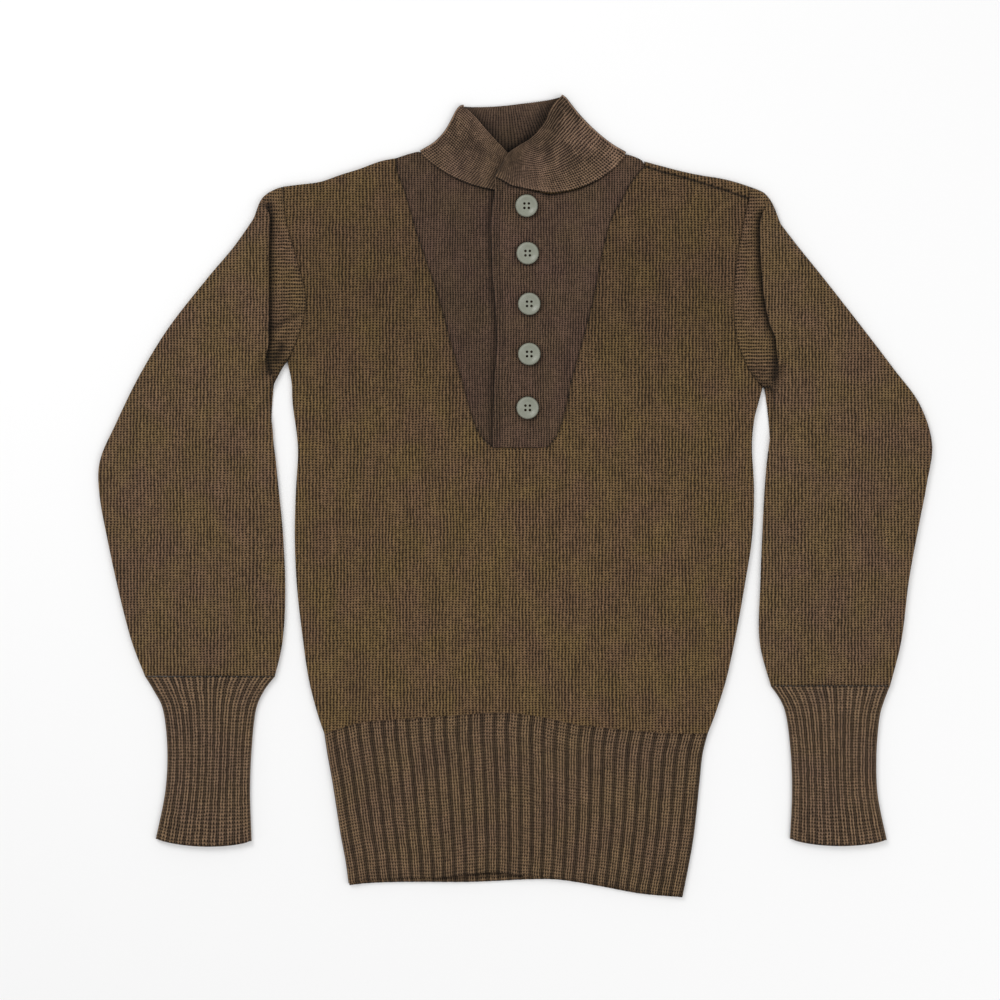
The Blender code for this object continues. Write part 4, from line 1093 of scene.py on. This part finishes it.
# %% The whole sleeve
def sleeve_rings(armhole, crease, cap, pit, rings, outward):
    """Rings of points round the sleeve from the armhole to the cuff."""
    arm = sample(smooth(armhole[:-1]), around)
    fold = sample(smooth(crease), around)
    outer_edge = sleeve_edge(cap, [ring[:2] for ring in rings])
    inner_edge = sleeve_edge(pit, [ring[2:] for ring in rings])
    outers = insets(outer_edge, SLEEVE_TURN, -outward)
    inners = insets(inner_edge, SLEEVE_TURN, outward)
    lines = armhole_rows(arm, fold, outward)
    last_fold = [(x, y) for x, y, z in lines[-1]]
    cuff_line = [mix(inners[-1], outers[-1], s) for s in around]
    out_part = [last_fold[-1], *outers[ARM_ROWS:]]
    in_part = [last_fold[0], *inners[ARM_ROWS:]]
    plan = list(zip(*patch(in_part, out_part, last_fold, cuff_line)))
    lines += rows_to_cuff(plan[1:], fold, outward)
    under = list(zip(*patch(inners, outers, arm, cuff_line)))
    ease = [ramp(min(s, 1 - s), 0.0, 0.045) for s in around]
    whole = []
    for j, (upper, below) in enumerate(zip(lines, under)):
        outer, inner = (arm[-1], arm[0]) if j == 0 else (outers[j], inners[j])
        upper = [(*mix(mix(inner, outer, s), (x, y), e), z) if e < 1 else (x, y, z)
                 for s, (x, y, z), e in zip(around, upper, ease)]
        ring = list(upper)
        ring += fold_points(upper[-1][:2], outer_edge[j], SLEEVE_TURN, SLEEVE_TURN, 1)
        lower = [(x, y, 0.0) for x, y in below]
        lower[0], lower[-1] = (*inner, 0.0), (*outer, 0.0)
        ring += lower[::-2]
        ring += fold_points(upper[0][:2], inner_edge[j], SLEEVE_TURN, SLEEVE_TURN, -1)
        ring.append(ring[0])
        whole.append(ring)
    return whole


# Painted shade beside the soft folds at both underarms, and in the hollow under the left one
PUCKER_SHADE = [hollow([(-207, 174), (-235, 158)], 2.6, 0.6),
           hollow([(-222, 142), (-228, 130)], 5.5, 0.75),
           hollow([(222, 121), (244, 117)], 1.5, 0.4), hollow([(226, 115), (245, 111)], 1.5, 0.45),
           hollow([(232, 109), (246, 106)], 1.5, 0.5)]


def sleeve(node, outward, armhole, crease, cap, pit, rings):
    """Cloth of one sleeve, whose strip and fold are knitted on across its length."""
    rows = sleeve_rings(armhole, crease, cap, pit, rings, outward)
    split = len(rows) - len(SLEEVE_STEPS) - 8
    shape = bmesh.new()
    lay_grid(shape, rows[:split + 1], planar(rows[:split + 1], WALE, COURSE, True))
    lay_grid(shape, rows[split:], planar(rows[split:], WALE, COURSE))
    if outward > 0:
        bmesh.ops.reverse_faces(shape, faces=shape.faces)
    # Painted shade beside the armhole seam and along the underarm, and a painted shadow under the
    # fold's overhang beside the crease
    under_fold = [(x - outward * 0.6, y) for x, y in smooth(crease)[4:-8]]
    dark = [hollow(smooth(armhole), 1.3, 0.3), hollow(under_fold, 4.5, 0.85, 7.0),
            hollow(smooth(pit)[:-12], 4.0, 0.6), *PUCKER_SHADE]
    return cloth(node + "_cloth", shape, SLEEVE_KNIT, SLEEVE_WALL, [node],
                 hollows=dark)


sleeve_left = sleeve("sleeve_left", -1, ARMHOLE_LEFT, CREASE_LEFT, CAP_LEFT, PIT_LEFT, RINGS_LEFT)
sleeve_right = sleeve("sleeve_right", 1, ARMHOLE_RIGHT, CREASE_RIGHT, CAP_RIGHT, PIT_RIGHT,
                      RINGS_RIGHT)

# %% [markdown]
# ## Cuffs
#
# A cuff is a narrow tube in 2 by 1 rib: two wales stand up, one lies back. It pulls the sleeve
# in, so its ribs fan out towards the sleeve, where its first rows rise into the sleeve's end.

# %% Cuffs
CUFF_LEFT = [(-352, -229, -171, -171), (-344, -239, -184, -184), (-335, -247, -203, -203),
             (-331, -251, -240, -240), (-333, -252.5, -280, -280), (-342, -251, -325, -327)]
CUFF_RIGHT = [(355, 242, -180, -180), (349.5, 251.5, -194, -194), (345, 257, -211, -211),
              (342.2, 261, -246, -246), (343.5, 262, -284, -284), (352, 260, -326, -325)]
CUFF_RIBS = 11
CUFF_RISE = 1.0
CUFF_HIGH = 4.1
CUFF_LONG = 152
# How far the middle of a cuff's end hangs past its corners, on the upper side and below
UPPER_SAG, LOWER_SAG = 5.0, 6.5
CUFF_TURN = CUFF_HIGH / 2


def cuff(node, outward, table):
    """Cloth of one cuff."""
    outer = smooth([(ox, oy) for ox, ix, oy, iy in table])
    inner = smooth([(ix, iy) for ox, ix, oy, iy in table])
    steps = near_ends(CUFF_LONG, FINE_PITCH, (0.0, 1.5, 3.0), KNOT_STEPS)
    wales, across = rib_places(CUFF_RIBS, *CUFF_WALES, CUFF_UP_SHARE)
    rows, counts = [], []
    for t, out, inn in zip(steps, sample(outer, steps), sample(inner, steps)):
        strength = ramp(t, -0.05, 0.12) * (1 - 0.3 * ramp(t, 0.95, 1.0))
        a, b = (inn[0] + outward * CUFF_TURN, inn[1]), (out[0] - outward * CUFF_TURN, out[1])
        belly = ramp(t, 0.75, 1.0)
        ring, count = [], []
        into_sleeve = 1.4 * (1 - ramp(t, 0.0, 0.12))
        for column, (wale, s) in enumerate(zip(wales, across)):
            x, y = mix(a, b, s)
            crown = math.sin(math.pi * min(1.0, s)) ** 0.7
            rib = CUFF_RISE * rib_height(wale, *CUFF_WALES) * strength + knots(t, column)
            z = CUFF_HIGH + (1.2 + into_sleeve) * crown + rib
            ring.append((x, y - UPPER_SAG * crown * belly, z))
            count.append((wale, t * CUFF_LONG / RIB_COURSE))
        ring += fold_points(ring[-1][:2], (ring[-1][0] + outward * CUFF_TURN, ring[-1][1]),
                            CUFF_TURN, CUFF_TURN, 1)
        for s in reversed(across[::2]):
            x, y = mix(a, b, s)
            sag = LOWER_SAG * math.sin(math.pi * min(1.0, s)) ** 0.6 * belly
            ring.append((x, y - sag, 0.0))
        ring += fold_points(a, (a[0] - outward * CUFF_TURN, a[1]), CUFF_TURN, CUFF_TURN, -1)
        ring.append(ring[0])
        rest = len(ring) - len(across)
        count += [(3 * CUFF_RIBS * (1 + (k + 1) / rest), t * CUFF_LONG / RIB_COURSE)
                  for k in range(rest)]
        rows.append(ring)
        counts.append(count)
    shape = bmesh.new()
    lay_grid(shape, rows, counts)
    if outward > 0:
        bmesh.ops.reverse_faces(shape, faces=shape.faces)
    return cloth(node + "_cloth", shape, CUFF_RIB, RIB_WALL, [node],
                 edge=RIB_EDGE)


cuff_left = cuff("cuff_left", -1, CUFF_LEFT)
cuff_right = cuff("cuff_right", 1, CUFF_RIGHT)

# %% [markdown]
# ## Buttons
#
# The buttons are right as they are in the frame. They get a satin moulded plastic, whose grey
# green is clouded a little, as dyed plastic is.

# %% Buttons
plastic = bpy.data.materials.new("button plastic")
plastic.use_nodes = True
plastic_shader = plastic.node_tree.nodes["Principled BSDF"]
plastic_shader.inputs["Roughness"].default_value = 0.38
swirl = blend(plastic.node_tree, clouds(plastic.node_tree, 260, 3.0), (0.20, 0.21, 0.16),
              (0.27, 0.28, 0.23))
plastic.node_tree.links.new(swirl, plastic_shader.inputs["Base Color"])
for name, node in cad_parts.items():
    if name.startswith("button"):
        node.data.materials.clear()
        node.data.materials.append(plastic)
        for polygon in node.data.polygons:
            polygon.material_index = 0
print("buttons:", sum(name.startswith("button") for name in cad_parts))
